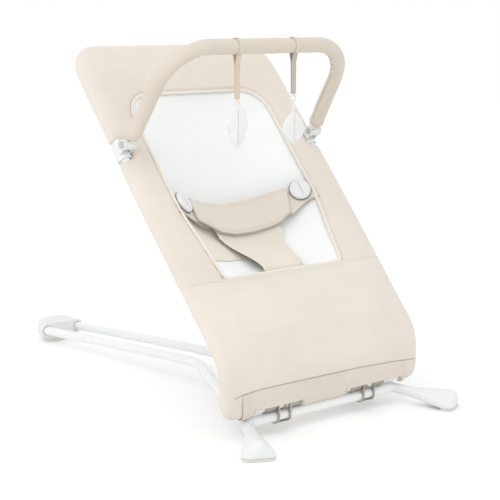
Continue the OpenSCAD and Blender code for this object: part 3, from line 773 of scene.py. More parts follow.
inflate(upper, 0.0040, 0.006, pin_upper, pressure=3.5, grow=0.003, smooth_after=14)
dress(upper, "seat", COVER, "cover_fabric", "head_panel", "left_side_bolster", "right_side_bolster")

# ---------------------------------------------------------------- cover: lower panel round the knee
FC = 12.0                                  # corner of the cloth over the bend of the tube


def lower_loop(s):
    z = prof(s)[1]
    if z >= HZ + FC:
        xc, rx = SH, RIM + rim_bow(s)
    else:
        h = HZ + FC - z
        xc = SH - FC + math.sqrt(max(1.0, FC ** 2 - h * h))
        rx = SH - FC + math.sqrt((FC + RIM) ** 2 - h * h) - xc
    n = 60
    crown = 1.6 * smooth(70, 110, z) * (1 - smooth(100, 124, s))
    e = smooth(96, 120, s)
    out = []
    for i in range(n):
        x = -xc + 2 * xc * i / (n - 1)
        inner = 1 - smooth(ix(S0) - 8, ix(S0) + 4, abs(x))
        o_ = RIM + crown * (1 - abs(x / xc) ** 4)
        t = min(1.0, max(0.0, (SH - abs(x)) / (SH - ix(S0) - 5.0)))
        o_ = lerp(o_, lerp(RIM, 6.7, t) + 3.0 * math.sin(pi * t) ** 0.8, e)
        sx = min(s, lerp(s, 126.5, inner))
        out.append(W(x, sx, o_))
    for k in range(1, 12):
        a = pi / 2 - pi * k / 12
        out.append(W(xc + rx * math.cos(a), s, RIM * math.sin(a)))
    for i in range(n):
        x = xc - 2 * xc * i / (n - 1)
        inner = 1 - smooth(ix(S0) - 8, ix(S0) + 4, abs(x))
        side_w = smooth(150, 185, abs(x))
        o_ = lerp(-6.5, -RIM, side_w)
        o_ = lerp(o_, -4.5, e * inner)
        out.append(W(x, min(s, lerp(s, 126.5, inner)), o_))
    for k in range(1, 12):
        a = -pi / 2 - pi * k / 12
        out.append(W(-xc + rx * math.cos(a), s, RIM * math.sin(a)))
    return out


levels = [s_of_z(56.5)] + [s_of_z(z) for z in np.arange(60, 91, 4)]
levels += [lerp(SB + 2, SA, i / 9) for i in range(10)] + [lerp(SA + 5, 118, i / 16) for i in range(17)] + [121, 124, 126.5, 129, 131]
parts = [loft([lower_loop(s) for s in levels])]
# sleeves round the two lower corners of the frame
for side, x_end in ((-1, -152), (1, 163)):
    c = Vector((side * (SH - FC), 0, HZ + FC))
    pts = [Vector((x_end, 0, HZ)), Vector((side * (SH - FC), 0, HZ))]
    pts += [c + FC * Vector((side * math.sin(a), 0, -math.cos(a))) for a in np.linspace(0.1, pi / 2, 12)]
    pts += [Vector((side * SH, 0, HZ + 34))]
    pts = resample(pts, 4)
    parts.append(sweep(pts, RIM, 24, up=Vector((0, 1, 0)), round_ends=False))
lower = new_mesh("cover_lower", *merge(*parts))


def pin_lower(p):
    w = 0.0
    if p.z < AZ + 20:
        o_ = -p.y + 0.0
        near = 1 - smooth(78, 100, p.z)
        w = max(w, near)
    x, s, o_ = xso(p)
    if p.z > AZ and o_ < 2:
        w = 1.0
    if p.z <= AZ and p.y > 12:
        w = 1.0
    w = max(w, smooth(96, 112, s))
    if abs(x) > SH + 4:
        w = max(w, 0.75)
    return min(1.0, w)


inflate(lower, 0.0040, 0.005, pin_lower, pressure=3.0, grow=0.003, smooth_after=14)
dress(lower, "seat", COVER_LOW, "cover_fabric", "lower_panel")

# hem band along the foot edge, with its tabs round the hinge tube
SEAM = [(-198, 66), (-181, 71), (-172, 73), (-139, 75.5), (-52, 75.5), (6, 75), (58, 74.5), (135, 72), (191, 68), (200, 66)]


def seam_z(x):
    for (a, za), (b, zb) in zip(SEAM, SEAM[1:]):
        if a <= x <= b:
            return lerp(za, zb, (x - a) / (b - a))
    return 66.0


def in_tab(x):
    """1 where the hem goes round the tube, 0 over the openings for the hinges."""
    t = 0.0
    for a, b in ((-170, -152), (-49, 36), (165, 172)):
        t = max(t, smooth(a - 5, a + 2, x) * (1 - smooth(b - 2, b + 5, x)))
    if x < -160 or x > 170:
        t = 1.0
    return t


def hem_point(x, a, lift):
    """a is the way down from the seam, round the tube and up behind it."""
    z0 = seam_z(x)
    R = RIM + lift
    down = z0 - HZ
    if a <= down:
        return Vector((x, -R, z0 - a))
    w = (a - down) / R
    if w < pi:
        return Vector((x, -R * math.cos(w), HZ - R * math.sin(w)))
    return Vector((x, R, HZ + (a - down - pi * R)))


rows, xs = 22, np.arange(-171, 171.1, 3.0)
grid = []
for x in xs:
    down = seam_z(x) - HZ
    full = down + pi * RIM + 8
    short = down - 0.5
    a_end = lerp(short, full, in_tab(x))
    proud = 0.9 + 1.4 * (1 - in_tab(x))
    grid.append([hem_point(x, a_end * j / (rows - 1), lerp(0.1, proud, min(1.0, j / (1.2 + 5 * (1 - in_tab(x)))))) for j in range(rows)])
v, f = loft(grid, closed=False)
hem = new_mesh("cover_hem", v, f)
so = hem.modifiers.new("t", "SOLIDIFY")
so.thickness = 0.0016
so.offset = 0.0
apply_mods(hem)
subsurf(hem, 1)
dress(hem, "seat", HEM, "cover_fabric")

low_tree = tree(lower)
up_tree = tree(upper)


def cast_front(tr, x, z, lift=0.0):
    hit = tr.ray_cast(M(Vector((x, -120, z))), Vector((0, 1, 0)), 0.3)
    if hit[0] is None:
        return Vector((x, -RIM, z))
    p = hit[0]
    return Vector((x, p.y * 1000 + OY - lift, z))


# painted shadow: a thin dark cord along the hem seam stands in for the shadow line of the crease
seam_pts = [cast_front(low_tree, x, seam_z(x) + 0.6, 0.1) for x in np.linspace(-186, 197, 96)]
o = new_mesh("hem_crease_shadow_line", *sweep(seam_pts, 0.7, 8))
dress(o, "seat", DARK_CORD_AND_CREASE_SHADOW, "cover_fabric")


def stitches(name, pts, normals, body, mat, slot_name, pitch=4.4, length=2.8, r=0.38, closed=False):
    """Thread lying on a surface along pts."""
    pts = [Vector(p) for p in pts]
    L = [0.0]
    for a, b in zip(pts, pts[1:]):
        L.append(L[-1] + (b - a).length)

    def at(d):
        d = min(max(d, 0), L[-1])
        j = max(0, min(len(L) - 2, int(np.searchsorted(L, d)) - 1))
        t = (d - L[j]) / max(1e-9, L[j + 1] - L[j])
        return pts[j].lerp(pts[j + 1], t), normals[j]
    parts = []
    k = int(L[-1] / pitch)
    for i in range(k):
        a, n = at(i * pitch + 0.5)
        b, _ = at(i * pitch + 0.5 + length)
        m, _ = at(i * pitch + 0.5 + length / 2)
        m = m + n * r * 0.7
        pt = [a - n * 0.3, a.lerp(m, 0.35) + n * 0.15, m, b.lerp(m, 0.35) + n * 0.15, b - n * 0.3]
        rr = [0.5 * r, r, r, r, 0.5 * r]
        d = (b - a).normalized()
        u = n.cross(d).normalized()
        loops = [[p + (n * math.cos(t) + u * math.sin(t)) * q for t in (2 * pi * g / 5 for g in range(5))] for p, q in zip(pt, rr)]
        parts.append(loft(loops))
    if not parts:
        return None
    o = new_mesh(name, *merge(*parts))
    return dress(o, body, mat, slot_name)


hem_n = Vector((0, -1, 0))
hp = [hem_point(x, 3.2, 1.75) for x in np.linspace(-169, 169, 90)]
stitches("hem_stitches", hp, [hem_n] * len(hp), "seat", THREAD, "cover_fabric")

# piping round the opening
open_pts = [Vector((-IX, S0 + 9))]
XB = ix(S0 + 8)
corners = [(-IX + RC, S1 - RC, RC, 180, 90), (IX - RC, S1 - RC, RC, 90, 0), None, (XB - 8, S0 + 8, 8, 0, -90), (-XB + 8, S0 + 8, 8, -90, -180)]
ring = []
for cn in corners:
    if cn is None:
        ring += [Vector((ix(s), s, 0)) for s in range(280, 140, -10)]
        continue
    cx, cs, r, a0, a1 = cn
    for k in range(13):
        a = math.radians(lerp(a0, a1, k / 12))
        ring.append(Vector((cx + r * math.cos(a), cs + r * math.sin(a), 0)))
ring += [Vector((-ix(s), s, 0)) for s in range(150, 290, 10)]
ring = resample(ring, 6, closed=True)


def edge_path(inset, o_):
    out = []
    c = Vector((0, (S0 + S1) / 2, 0))
    n = len(ring)
    for i, p in enumerate(ring):
        d = (ring[(i + 1) % n] - ring[i - 1]).normalized()
        m = Vector((-d.y, d.x, 0))
        if m.dot(c - p) < 0:
            m = -m
        q = p + m * inset
        out.append((q.x, q.y))
    return out


pp = [W(x, s, 4.3) for x, s in edge_path(-0.8, 0)]
o = new_mesh("opening_piping", *sweep(pp, 2.8, 14, closed=True, up=front_n(300)))
dress(o, "seat", PIPE, "cover_fabric")
sp_pts, sp_n = [], []
for x, s in edge_path(-7.5, 0):
    tr = low_tree if s < S0 - 2 else up_tree
    sp_pts.append(drop(tr, x, s, 0.1))
    sp_n.append(front_n(s))
sp_pts.append(sp_pts[0].copy())
sp_n.append(sp_n[0])
stitches("opening_stitches", sp_pts, sp_n, "seat", THREAD, "cover_fabric")
# seams between the lower panel and the bolsters
for side, nm in ((-1, "left"), (1, "right")):
    path = [drop(low_tree, side * x, S0 - 5.4, 0.0, low_ok=False) for x in np.linspace(ix(S0) + 6, SH + 8, 26)]
    path = [p for p in path if p is not None]
    o = new_mesh(nm + "_bolster_seam", *sweep(path, 0.5, 8, up=front_n(300)))
    dress(o, "seat", HEM, "cover_fabric")

# ---------------------------------------------------------------- sling
def sag(s):
    u = min(1.0, max(0.0, (s - S0) / (S1 - S0)))
    return 52 * math.sin(pi * u ** 0.82) ** 0.85 if 0 < u < 1 else 0.0


def half_w(s):
    if s > S1 - RC:
        return IX - RC + math.sqrt(max(0.0, RC ** 2 - (s - S1 + RC) ** 2)) + 3
    return ix(s) + 3


def sling_o(x, s):
    w = half_w(s)
    base = 1.5 - sag(s) * max(0.0, 1 - abs(x / w) ** 2.4)
    fold = 0.9 * math.sin(s / 11 + 3 * math.sin(x / 60)) * smooth(0.25, 0.8, abs(x) / w) * (1 - smooth(0.9, 1.0, abs(x) / w))
    corner = 1.6 * math.exp(-((s - 150) / 26) ** 2) * math.sin(x / 9.0) * smooth(50, 110, abs(x)) * (1 - smooth(125, 142, abs(x)))
    return base + fold * smooth(S0, S0 + 40, s) * (1 - smooth(S1 - 50, S1, s)) + corner


ns, nx = 86, 72
grid = []
for j in range(ns + 1):
    s = S0 - 2 + (S1 - S0 + 4) * j / ns
    w = half_w(min(s, S1 - 0.6))
    grid.append([W(w * (2 * i / nx - 1), s, sling_o(w * (2 * i / nx - 1), s)) for i in range(nx + 1)])
v, f = loft(grid, closed=False)
sling = new_mesh("sling_cloth", v, f)
so = sling.modifiers.new("t", "SOLIDIFY")
so.thickness = 0.0012
so.offset = 0.0
apply_mods(sling)
dress(sling, "seat", SLING, "sling_fabric", "sling_panel")
sling_tree = tree(sling)

# painted shadow: a darker beige sheet laid on the sling beside the crotch flap, on the child's right, standing in for
# the shade the belt and flap cast there
SHADOW_SHEET_CORNERS = [(-139, 252), (-44, 252), (-20, 170.5), (-ix(162) + 1, 162)]
grid = []
for j in range(23):
    tj = j / 22
    row = []
    for i in range(27):
        ti_ = i / 26
        tx_ = lerp(SHADOW_SHEET_CORNERS[0][0], SHADOW_SHEET_CORNERS[1][0], ti_)
        ts_ = lerp(SHADOW_SHEET_CORNERS[0][1], SHADOW_SHEET_CORNERS[1][1], ti_)
        bx_ = lerp(SHADOW_SHEET_CORNERS[3][0], SHADOW_SHEET_CORNERS[2][0], ti_)
        bs_ = lerp(SHADOW_SHEET_CORNERS[3][1], SHADOW_SHEET_CORNERS[2][1], ti_)
        x, s = lerp(tx_, bx_, tj), lerp(ts_, bs_, tj)
        x = max(x, -ix(s) + 0.8)
        row.append(drop(sling_tree, x, s, 0.9))
    grid.append(row)
v, f = loft(grid, closed=False)
shadow_sheet = new_mesh("painted_belt_shadow_sheet", v, f)
so = shadow_sheet.modifiers.new("t", "SOLIDIFY")
so.thickness = 0.0010
so.offset = 0.0
apply_mods(shadow_sheet)
dress(shadow_sheet, "seat", SHADE, "belt_fabric")

# ---------------------------------------------------------------- crotch flap
DEEP, BR = 30.0, 281.0
BC = BR - DEEP


def flap_w(s):
    return 66.0 if s > 214 else 40 + 26 * ((max(s, S0) - S0) / 88) ** 2


def flap_o(x, s):
    u = min(1.0, (s - S0) / 88)
    e = u * u * (3 - 2 * u)
    return 6.6 - e * (DEEP + 3.5 + 7.6) + e * x * x / (2 * BR) + 0.8 * math.sin(x / 8.0 + s / 30) * (1 - smooth(140, 190, s)) * smooth(S0, S0 + 12, s)


grid = []
for j in range(44):
    s = S0 - 2 + 138 * j / 43
    w = flap_w(s)
    row = []
    for i in range(33):
        t = 2 * i / 32 - 1
        x = w * t
        o_ = flap_o(x, max(s, S0 + 0.1)) - 5.0 * (1 - smooth(S0 - 1, S0 + 9, s))
        row.append(W(x, s, o_))
    grid.append(row)
v, f = loft(grid, closed=False)
flap = new_mesh("crotch_flap", v, f)
so = flap.modifiers.new("t", "SOLIDIFY")
so.thickness = 0.0026
so.offset = -0.4
apply_mods(flap)
subsurf(flap, 1)
dress(flap, "seat", FLAP, "belt_fabric", "crotch_panel")
for side, nm in ((-1, "left"), (1, "right")):
    pts, ns_ = [], []
    for s in np.linspace(S0 + 2, 214, 40):
        w = flap_w(s) - 0.6
        pts.append(W(side * w, s, flap_o(w, s) + 0.4))
    o = new_mesh(nm + "_flap_binding", *sweep(pts, 1.5, 10, up=front_n(300)))
    dress(o, "seat", PIPE, "belt_fabric")
    pts = [W(side * (flap_w(s) - 6.5), s, flap_o(flap_w(s) - 6.5, s) + 1.0) for s in np.linspace(S0 + 6, 212, 40)]
    stitches(nm + "_flap_stitches", pts, [front_n(200)] * len(pts), "seat", THREAD, "belt_fabric")

# ---------------------------------------------------------------- waist belt
def tab(points, x):
    for (a, va), (b, vb) in zip(points, points[1:]):
        if a <= x <= b:
            t = (x - a) / (b - a)
            return lerp(va, vb, t * t * (3 - 2 * t) * 0.5 + t * 0.5)
    return points[0][1] if x < points[0][0] else points[-1][1]


B_TOP = [(-104, 280), (-70, 276), (-26, 273.5), (0, 276), (49, 279), (104, 281)]
B_LOW = [(-104, 238), (-81, 231), (-58, 220), (-28, 216), (6, 217), (43, 220), (69, 224), (92, 231), (104, 236)]


def belt_pt(x, s, h, r_base=BR):
    """Point at height h in front of the middle layer of the belt."""
    r = r_base - h
    w = x / r_base
    return W(r * w, s, BC - math.sqrt(max(1.0, r * r - (r * w) ** 2)))


loops = []
nb = 70
for i in range(nb + 1):
    x = -104 + 208 * i / nb
    st_, sb_ = tab(B_TOP, x), tab(B_LOW, x)
    end = min(1.0, (104 - abs(x)) / 5.0)
    k = math.sqrt(max(0.0, 1 - (1 - end) ** 2)) if end < 1 else 1.0
    mid_s, hh = (st_ + sb_) / 2, (st_ - sb_) / 2 * (0.93 + 0.07 * k)
    loop = []
    for g in range(40):
        a = 2 * pi * g / 40
        c, q = math.cos(a), math.sin(a)
        ds = hh * (abs(c) ** 0.55) * (1 if c > 0 else -1)
        dh = 4.0 * (0.25 + 0.75 * k) * (abs(q) ** 0.75) * (1 if q > 0 else -1)
        pillow = 1 + 0.18 * math.sin(x / 13.0 + 0.4) * 0.3
        xx = x - 13.0 * smooth(50, 104, x) * (0.5 - 0.5 * ds / max(hh, 1))
        loop.append(belt_pt(xx, mid_s + ds, dh * pillow))
    loops.append(loop)
v, f = loft(loops)
belt = new_mesh("waist_belt_pad", v, f)
subsurf(belt, 1)
dress(belt, "seat", BELT, "belt_fabric", "waist_belt")
for nm, T_, sg in (("lower", B_LOW, -1), ("upper", B_TOP, 1)):
    pts = []
    for i in range(61):
        x = -103 + 206 * i / 60
        s = tab(T_, x) + sg * 0.4
        xx = x - 13.0 * smooth(50, 104, x) * (1.0 if sg < 0 else 0.0)
        pts.append(belt_pt(xx, s, 1.2))
    o = new_mesh("belt_" + nm + "_binding", *sweep(pts, 1.35, 10, up=front_n(300)))
    dress(o, "seat", DARK_CORD_AND_CREASE_SHADOW if sg < 0 else PIPE, "belt_fabric")
    pts2 = []
    for i in range(61):
        x = -97 + 194 * i / 60
        xx = x - 13.0 * smooth(50, 104, x) * (0.85 if sg < 0 else 0.1)
        pts2.append(belt_pt(xx, tab(T_, x) - sg * 6.0, 3.7))
    stitches("belt_" + nm + "_stitches", pts2, [front_n(250)] * 61, "seat", THREAD, "belt_fabric")

# wing straps from the belt ends to the bolsters
for side, nm in ((-1, "left"), (1, "right")):
    grid = []
    for i in range(19):
        t = i / 18
        x = lerp(84, 144.5, t)
        top = lerp(277, 262, smooth(0, 1, t))
        low = lerp(232, 249, smooth(0.0, 0.85, t))
        row = []
        for j in range(13):
            s = lerp(low, top, j / 12)
            puckers = 0.5 * math.sin(j * 1.7) * smooth(0.5, 1.0, t)
            row.append(belt_pt(side * x, s, -3.9 + puckers))
        grid.append(row)
    v, f = loft(grid, closed=False)
    o = new_mesh(nm + "_wing", v, f)
    so = o.modifiers.new("t", "SOLIDIFY")
    so.thickness = 0.0022
    so.offset = 0.0
    apply_mods(o)
    subsurf(o, 1)
    dress(o, "seat", BELT, "belt_fabric", nm + "_wing_strap")
    for sg, f_ in ((1, lambda t: lerp(277, 262, smooth(0, 1, t))), (-1, lambda t: lerp(232, 249, smooth(0.0, 0.85, t)))):
        pts = [belt_pt(side * lerp(84, 144.5, k / 20), f_(k / 20), -3.8) for k in range(21)]
        o2 = new_mesh(nm + ("_wing_top_binding" if sg > 0 else "_wing_low_binding"), *sweep(pts, 1.25, 8, up=front_n(300)))
        dress(o2, "seat", BELT if sg > 0 else DARK_CORD_AND_CREASE_SHADOW, "belt_fabric")

# ---------------------------------------------------------------- toggles
for side, nm in ((-1, "left"), (1, "right")):
    tilt = math.asin(122.0 / BR)
    org = W(side * 122.0, 270, BC - BR * math.cos(tilt))
    n = front_n(270)
    tan = Vector((0, TX, TZ))
    ax = (n * math.cos(tilt) - Vector((1, 0, 0)) * side * math.sin(tilt)).normalized()
    ux = tan.cross(ax).normalized()
    prof_t = [(0.01, 5.3), (6, 5.25), (11, 5.0), (14.4, 4.5), (16.4, 3.7), (17.5, 2.5), (18, 1.0), (17.8, -0.4), (17.0, -1.4), (15.2, -1.7), (4.0, -1.7), (4.0, -6.6), (0.01, -6.6)]
    disc = new_mesh(nm + "_toggle_disc", *xf(lathe(prof_t, 64), basis(org, ux, tan, ax)))
    cut_v = [Vector((x, y, z)) for x in (-0.85, 0.85) for y in (-13, 13) for z in (3.6, 9)]
    cut = new_mesh("cut", *xf((cut_v, [(0, 1, 3, 2), (4, 6, 7, 5), (0, 4, 5, 1), (2, 3, 7, 6), (0, 2, 6, 4), (1, 5, 7, 3)]), basis(org, ux, tan, ax)), smooth_shade=False)
    b = disc.modifiers.new("b", "BOOLEAN")
    b.operation = "DIFFERENCE"
    b.object = cut
    b.solver = "EXACT"
    apply_mods(disc)
    bpy.data.objects.remove(cut)
    es = disc.modifiers.new("e", "BEVEL")
    es.width = 0.0003
    es.segments = 2
    es.limit_method = "ANGLE"
    es.angle_limit = math.radians(45)
    dress(disc, nm + "_toggle_button", TOGGLE, "toggle_plastic", nm + "_toggle")
    # the skirt ring under each disc is a dark grey base ring whose dark tone is also painted shadow, standing in for
    # the shade under the disc
    ringp = [(15.6, -1.9), (18.6, -1.9), (19.2, -1.4), (19.2, -0.9), (18.7, -0.5), (17.9, -0.4), (15.6, -0.5), (15.6, -1.9)]
    loops = [[Vector((r * math.cos(2 * pi * k / 56), r * math.sin(2 * pi * k / 56), h)) for k in range(56)] for r, h in ringp]
    o = new_mesh(nm + "_toggle_skirt_and_shade", *xf(loft(loops, caps=(False, False)), basis(org, ux, tan, ax)))
    dress(o, nm + "_toggle_button", TOGGLE_BASE_AND_SHADE, "toggle_plastic")

# ---------------------------------------------------------------- toy bar
_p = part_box("right_pivot_pin")
PV = Vector((0, (_p[0][1] + _p[1][1]) * 500 + OY, (_p[0][2] + _p[1][2]) * 500))
_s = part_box("toy_bar_sleeve")
BL = math.radians(123.4)
BV = Vector((0, math.cos(BL), math.sin(BL)))
LEN = 176.0


def bar_pt(x, d):
    return PV + BV * d + Vector((x, 0, 0))


path = round_path([bar_pt(-191, 14), bar_pt(-187, 60), bar_pt(-181.5, LEN), bar_pt(181.5, LEN), bar_pt(187, 60), bar_pt(191, 14)], [60, 75, 75, 60], 26)
path = resample(path, 3.0)
cum = [0.0]
for a, b in zip(path, path[1:]):
    cum.append(cum[-1] + (b - a).length)
TOT = cum[-1]
bar_n = Vector((1, 0, 0)).cross(BV).normalized()   # out of the plane of the bar


def bar_r(u, t):
    """Radius of the padded sleeve; t = 0 points out of the plane of the bar."""
    d = u * TOT
    e = min(d, TOT - d)
    r = 11.9
    r -= 1.6 * math.exp(-(e / 5.0) ** 2)
    r += 0.7 * math.exp(-((e - 9) / 4.0) ** 2)
    bend = math.exp(-((e - 150) / 42.0) ** 2)
    ins = max(0.0, (math.sin(t) if d < TOT / 2 else math.sin(t)) * INNER)
    r += bend * ins * 0.85 * math.sin(d / 2.15) + 0.25 * math.sin(d / 17.0 + 2 * t) + 0.12 * math.sin(d / 6.1 - t)
    return min(r, 12.6)


INNER = 1.0
fr0 = frames_along(path, bar_n)[len(path) // 5]
inner_dir = (bar_pt(0, 60) - path[len(path) // 5]).normalized()
INNER = 1.0 if fr0[2].dot(inner_dir) > 0 else -1.0
v, f = sweep(path, bar_r, 36, up=bar_n, round_ends=True)
sleeve = new_mesh("toy_bar_pad", v, f)
dress(sleeve, "toy_bar", SLEEVE, "cover_fabric", "toy_bar_sleeve")
fr = frames_along(path, bar_n)
seam = [p + fr[i][2] * INNER * 12.0 for i, p in enumerate(path)][3:-3]
o = new_mesh("toy_bar_seam", *sweep(seam, 0.55, 6, up=bar_n))
dress(o, "toy_bar", DARK_CORD_AND_CREASE_SHADOW, "cover_fabric")
for nm, k in (("left", 2), ("right", -3)):
    d, a, b = fr[k]
    c = path[k]
    ringc = [c + (a * math.cos(w) + b * math.sin(w)) * 11.6 for w in np.linspace(0, 2 * pi, 40, endpoint=False)]
    o = new_mesh(nm + "_bar_cuff", *sweep(ringc, 1.1, 8, closed=True, up=d))
    dress(o, "toy_bar", SLEEVE, "cover_fabric")

# ---------------------------------------------------------------- toys
BT = bar_pt(0, LEN)


def toy_frame(x):
    return basis(Vector((x, BT.y, BT.z)), Vector((1, 0, 0)), Vector((0, 1, 0)), Vector((0, 0, 1)))


def ribbon(x, drop_len, mat, slot_name, body, name, node, tilt):
    m = toy_frame(x)
    loops = []
    n = 40
    ri = 12.7

    def strip(path2, w0, w1, th):
        """path2: (y, z, ny, nz) centre line of the tape."""
        ls = []
        for i, (y, z, ny, nz) in enumerate(path2):
            t = i / (len(path2) - 1)
            w = lerp(w0, w1, t) / 2
            tw = tilt * smooth(0.0, 1.0, t)
            row = []
            for a in range(12):
                q = 2 * pi * a / 12
                cx, cy = math.cos(q), math.sin(q)
                lx = w * (abs(cx) ** 0.3) * (1 if cx > 0 else -1)
                ly = th / 2 * (abs(cy) ** 0.6) * (1 if cy > 0 else -1)
                px = lx * math.cos(tw)
                row.append(Vector((px, y + ny * ly + lx * math.sin(tw) * abs(nz < 0.5), z + nz * ly)))
            ls.append(row)
        return loft(ls)
    loop_path = []
    for i in range(41):
        a = -pi / 2 + 0.25 + (2 * pi - 0.5) * i / 40
        loop_path.append((ri * math.cos(a), ri * math.sin(a), math.cos(a), math.sin(a)))
    front = [(loop_path[0][0] * (1 - smooth(0, 0.25, t)) + 0.9, lerp(-ri, -12.35 - drop_len, t) + 0.6 * (1 - t), 1.0, 0.0) for t in np.linspace(0.0, 1, 24)]
    back = [(loop_path[-1][0] * (1 - smooth(0, 0.25, t)) - 0.9, lerp(-ri, -12.35 - drop_len, t) + 0.6 * (1 - t), -1.0, 0.0) for t in np.linspace(0.0, 1, 24)]
    lo_ = new_mesh(name + "_loop", *xf(strip(loop_path, 10, 10, 0.9), m))
    dress(lo_, body, SLEEVE, "cover_fabric")
    part = merge(strip(front, 10, 9.2, 1.1), strip(back, 10, 9.2, 1.1))
    o = new_mesh(name, *xf(part, m))
    dress(o, body, mat, slot_name, node)
    pts = [m @ Vector((0, -1.7, -12.35 - 4 - k)) for k in np.linspace(0, 1, 2)]
    edge = []
    for sx in (-3.1, 3.1):
        p = [m @ Vector((sx * math.cos(tilt * smooth(0, 1, t)), 0.0 - 2.0, -14 - (drop_len - 4) * t)) for t in np.linspace(0.05, 1, 20)]
        stitches(name + ("_stitch_a" if sx < 0 else "_stitch_b"), p, [Vector((0, -1, 0))] * 20, body, THREAD, slot_name, pitch=3.2, length=2.0, r=0.25)
    return o


ribbon(-58, 67, RIB_L, "ribbon_sand", "left_toy", "left_ribbon", "left_toy_ribbon", 0.0)
ribbon(58, 63, RIB_R, "ribbon_grey", "right_toy", "right_ribbon", "right_toy_ribbon", 0.0)


def lobed(t):
    return 20 * max(0, math.sin(pi * t ** 0.75)) ** 0.7 * (0.74 + 0.26 * abs(math.sin(math.radians(180 * 3 * t + 20))) ** 0.6) + 1.0


def dropw(t):
    return 22.2 * max(0, math.sin(pi * t ** 1.15)) ** 0.72 + 0.8


def leaf(height, wfn, thick, veins):
    """Stuffed leaf hanging from z = 0, with pressed veins."""
    loops = []
    n, m = 72, 48
    for j in range(n + 1):
        t = 0.5 - 0.5 * math.cos(pi * j / n)
        w = wfn(t)
        h = thick / 2 * (min(1.0, w / 12.0)) ** 0.55
        loop = []
        for k in range(m):
            a = 2 * pi * k / m
            c, q = math.cos(a), math.sin(a)
            x = w * (abs(c) ** 0.85) * (1 if c > 0 else -1)
            y = h * (abs(q) ** 0.7) * (1 if q > 0 else -1)
            z = -height * t
            rib = 1.5 * math.exp(-(x / 1.1) ** 2) * smooth(0.03, 0.1, t) * (1 - smooth(0.9, 0.98, t))
            for vt in veins:
                dist = (t - vt) * height + abs(x) * 0.75
                rib = max(rib, 0.85 * math.exp(-(dist / 0.95) ** 2) * smooth(0.02, 0.15, abs(x) / w) * (1 - smooth(0.75, 0.92, abs(x) / w)))
            y -= rib * (1 if q > 0 else -1) * min(1, abs(q) * 1.5) * (0.9 if abs(y) > 1.2 else 0)
            loop.append(Vector((x, y, z)))
        loops.append(loop)
    return loft(loops)


def torus(c, R, r, n=32, sides=12, axis="y"):
    ringp = [c + R * (Vector((math.cos(a), 0, math.sin(a)))) for a in np.linspace(0, 2 * pi, n, endpoint=False)]
    return sweep(ringp, r, sides, closed=True, up=Vector((0, 1, 0)))


# midrib cord laid in the leaf's groove; its darker tone is partly thread colour and partly painted shade in the groove
def leaf_veins(m, height, wfn, thick, veins, top, name, body):
    parts = []
    for sg in (-1, 1):
        pts = [m @ Vector((0, sg * (thick / 2 - 1.15), top - height * t)) for t in np.linspace(0.1, 0.9, 24)]
        parts.append(sweep(pts, 0.42, 6))
    o = new_mesh(name, *merge(*parts))
    dress(o, body, VEIN_THREAD_AND_SHADE, "toy_plush")


mL = toy_frame(-58)
topL = -12.35 - 67
lf = leaf(66, lobed, 8.0, (0.3, 0.5, 0.7, 0.88))
lf = ([p + Vector((0, 0, topL - 9)) for p in lf[0]], lf[1])
stem = sweep([Vector((0, 0, topL - 9.6)), Vector((0, 0, topL - 13)), Vector((0, 0, topL - 20))], 2.7, 16)
o = new_mesh("left_leaf", *xf(merge(lf, stem), mL))
dress(o, "left_toy", PLUSH, "toy_plush", "left_leaf_toy")
o = new_mesh("left_leaf_eye", *xf(torus(Vector((0, 0, topL - 6.4)), 4.4, 1.5), mL))
dress(o, "left_toy", PLASTIC, "toy_clip")
leaf_veins(mL, 66, lobed, 8.0, (), topL - 9, "left_leaf_rib", "left_toy")

mR = toy_frame(58)
topR = -12.35 - 63
clip = merge(torus(Vector((0, 0, topR - 6.9)), 4.8, 1.6, 40, 14),
             sweep([Vector((0, 0, topR - z)) for z in (11.5, 13, 15)], 3.1, 24),
             sweep([Vector((0, 0, topR - z)) for z in (15.5, 20, 26)], 2.3, 24),
             sweep([Vector((0, 0, topR - z)) for z in (24.6, 26, 27.6)], 3.0, 24))
o = new_mesh("right_clip", *xf(clip, mR))
dress(o, "right_toy", PLASTIC, "toy_clip", "right_toy_clip")
lf = leaf(50, dropw, 9.0, (0.34, 0.5, 0.66, 0.82))
lf = ([p + Vector((0, 0, topR - 28.2)) for p in lf[0]], lf[1])
o = new_mesh("right_leaf", *xf(lf, mR))
dress(o, "right_toy", PLUSH, "toy_plush", "right_leaf_toy")
leaf_veins(mR, 50, dropw, 9.0, (), topR - 28.2, "right_leaf_rib", "right_toy")

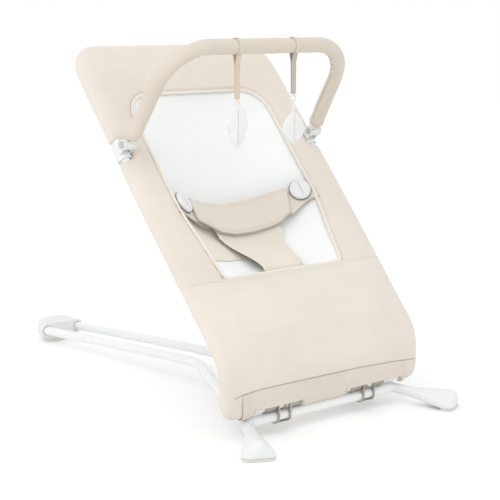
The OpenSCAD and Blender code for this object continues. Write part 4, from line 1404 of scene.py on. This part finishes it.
# ---------------------------------------------------------------- stage, light, camera
me = bpy.data.meshes.new("floor")
me.from_pydata([(-6, -6, -0.0002), (6, -6, -0.0002), (6, 6, -0.0002), (-6, 6, -0.0002)], [], [(0, 1, 2, 3)])
floor = bpy.data.objects.new("floor", me)
scene.collection.objects.link(floor)
FN = Nodes("floor_paper")
FN.b.inputs["Base Color"].default_value = (0.97, 0.975, 0.975, 1)
FN.b.inputs["Roughness"].default_value = 0.95
FN.b.inputs["Specular IOR Level"].default_value = 0.1
floor.data.materials.append(FN.mat)

world = bpy.data.worlds.new("studio")
scene.world = world
world.use_nodes = True
wt = world.node_tree
bg = wt.nodes.get("Background") or wt.nodes.new("ShaderNodeBackground")
bg.inputs["Color"].default_value = (1.0, 1.0, 1.0, 1)
bg.inputs["Strength"].default_value = 1.0


def area(name, loc, target, size, power):
    d = bpy.data.lights.new(name, "AREA")
    d.shape = "DISK"
    d.size = size
    d.energy = power
    o_ = bpy.data.objects.new(name, d)
    scene.collection.objects.link(o_)
    o_.location = loc
    o_.rotation_euler = (Vector(target) - Vector(loc)).to_track_quat("-Z", "Y").to_euler()
    return o_


scene.view_settings.view_transform = "Standard"
area("key", (-1.5, -0.55, 1.75), (0, 0, 0.25), 1.3, 6.5)
sd = bpy.data.lights.new("window", "SUN")
sd.energy = 0.3
sd.angle = math.radians(80)
sun = bpy.data.objects.new("window", sd)
scene.collection.objects.link(sun)
sun.rotation_euler = Vector((0.5, 0.4, -0.77)).to_track_quat("-Z", "Y").to_euler()

cam_d = bpy.data.cameras.new("camera")
cam_d.sensor_width = 36
cam_d.lens = 100.8
cam = bpy.data.objects.new("camera", cam_d)
scene.collection.objects.link(cam)
aim = Vector((-0.1482, -OY / 1000, 0.2822))
az, el, dist = math.radians(-40.9), math.radians(9.6), 2.0061
back = Vector((math.sin(az) * math.cos(el), -math.cos(az) * math.cos(el), math.sin(el)))
cam.location = aim + back * dist
cam.rotation_euler = (-back).to_track_quat("-Z", "Y").to_euler()
scene.camera = cam
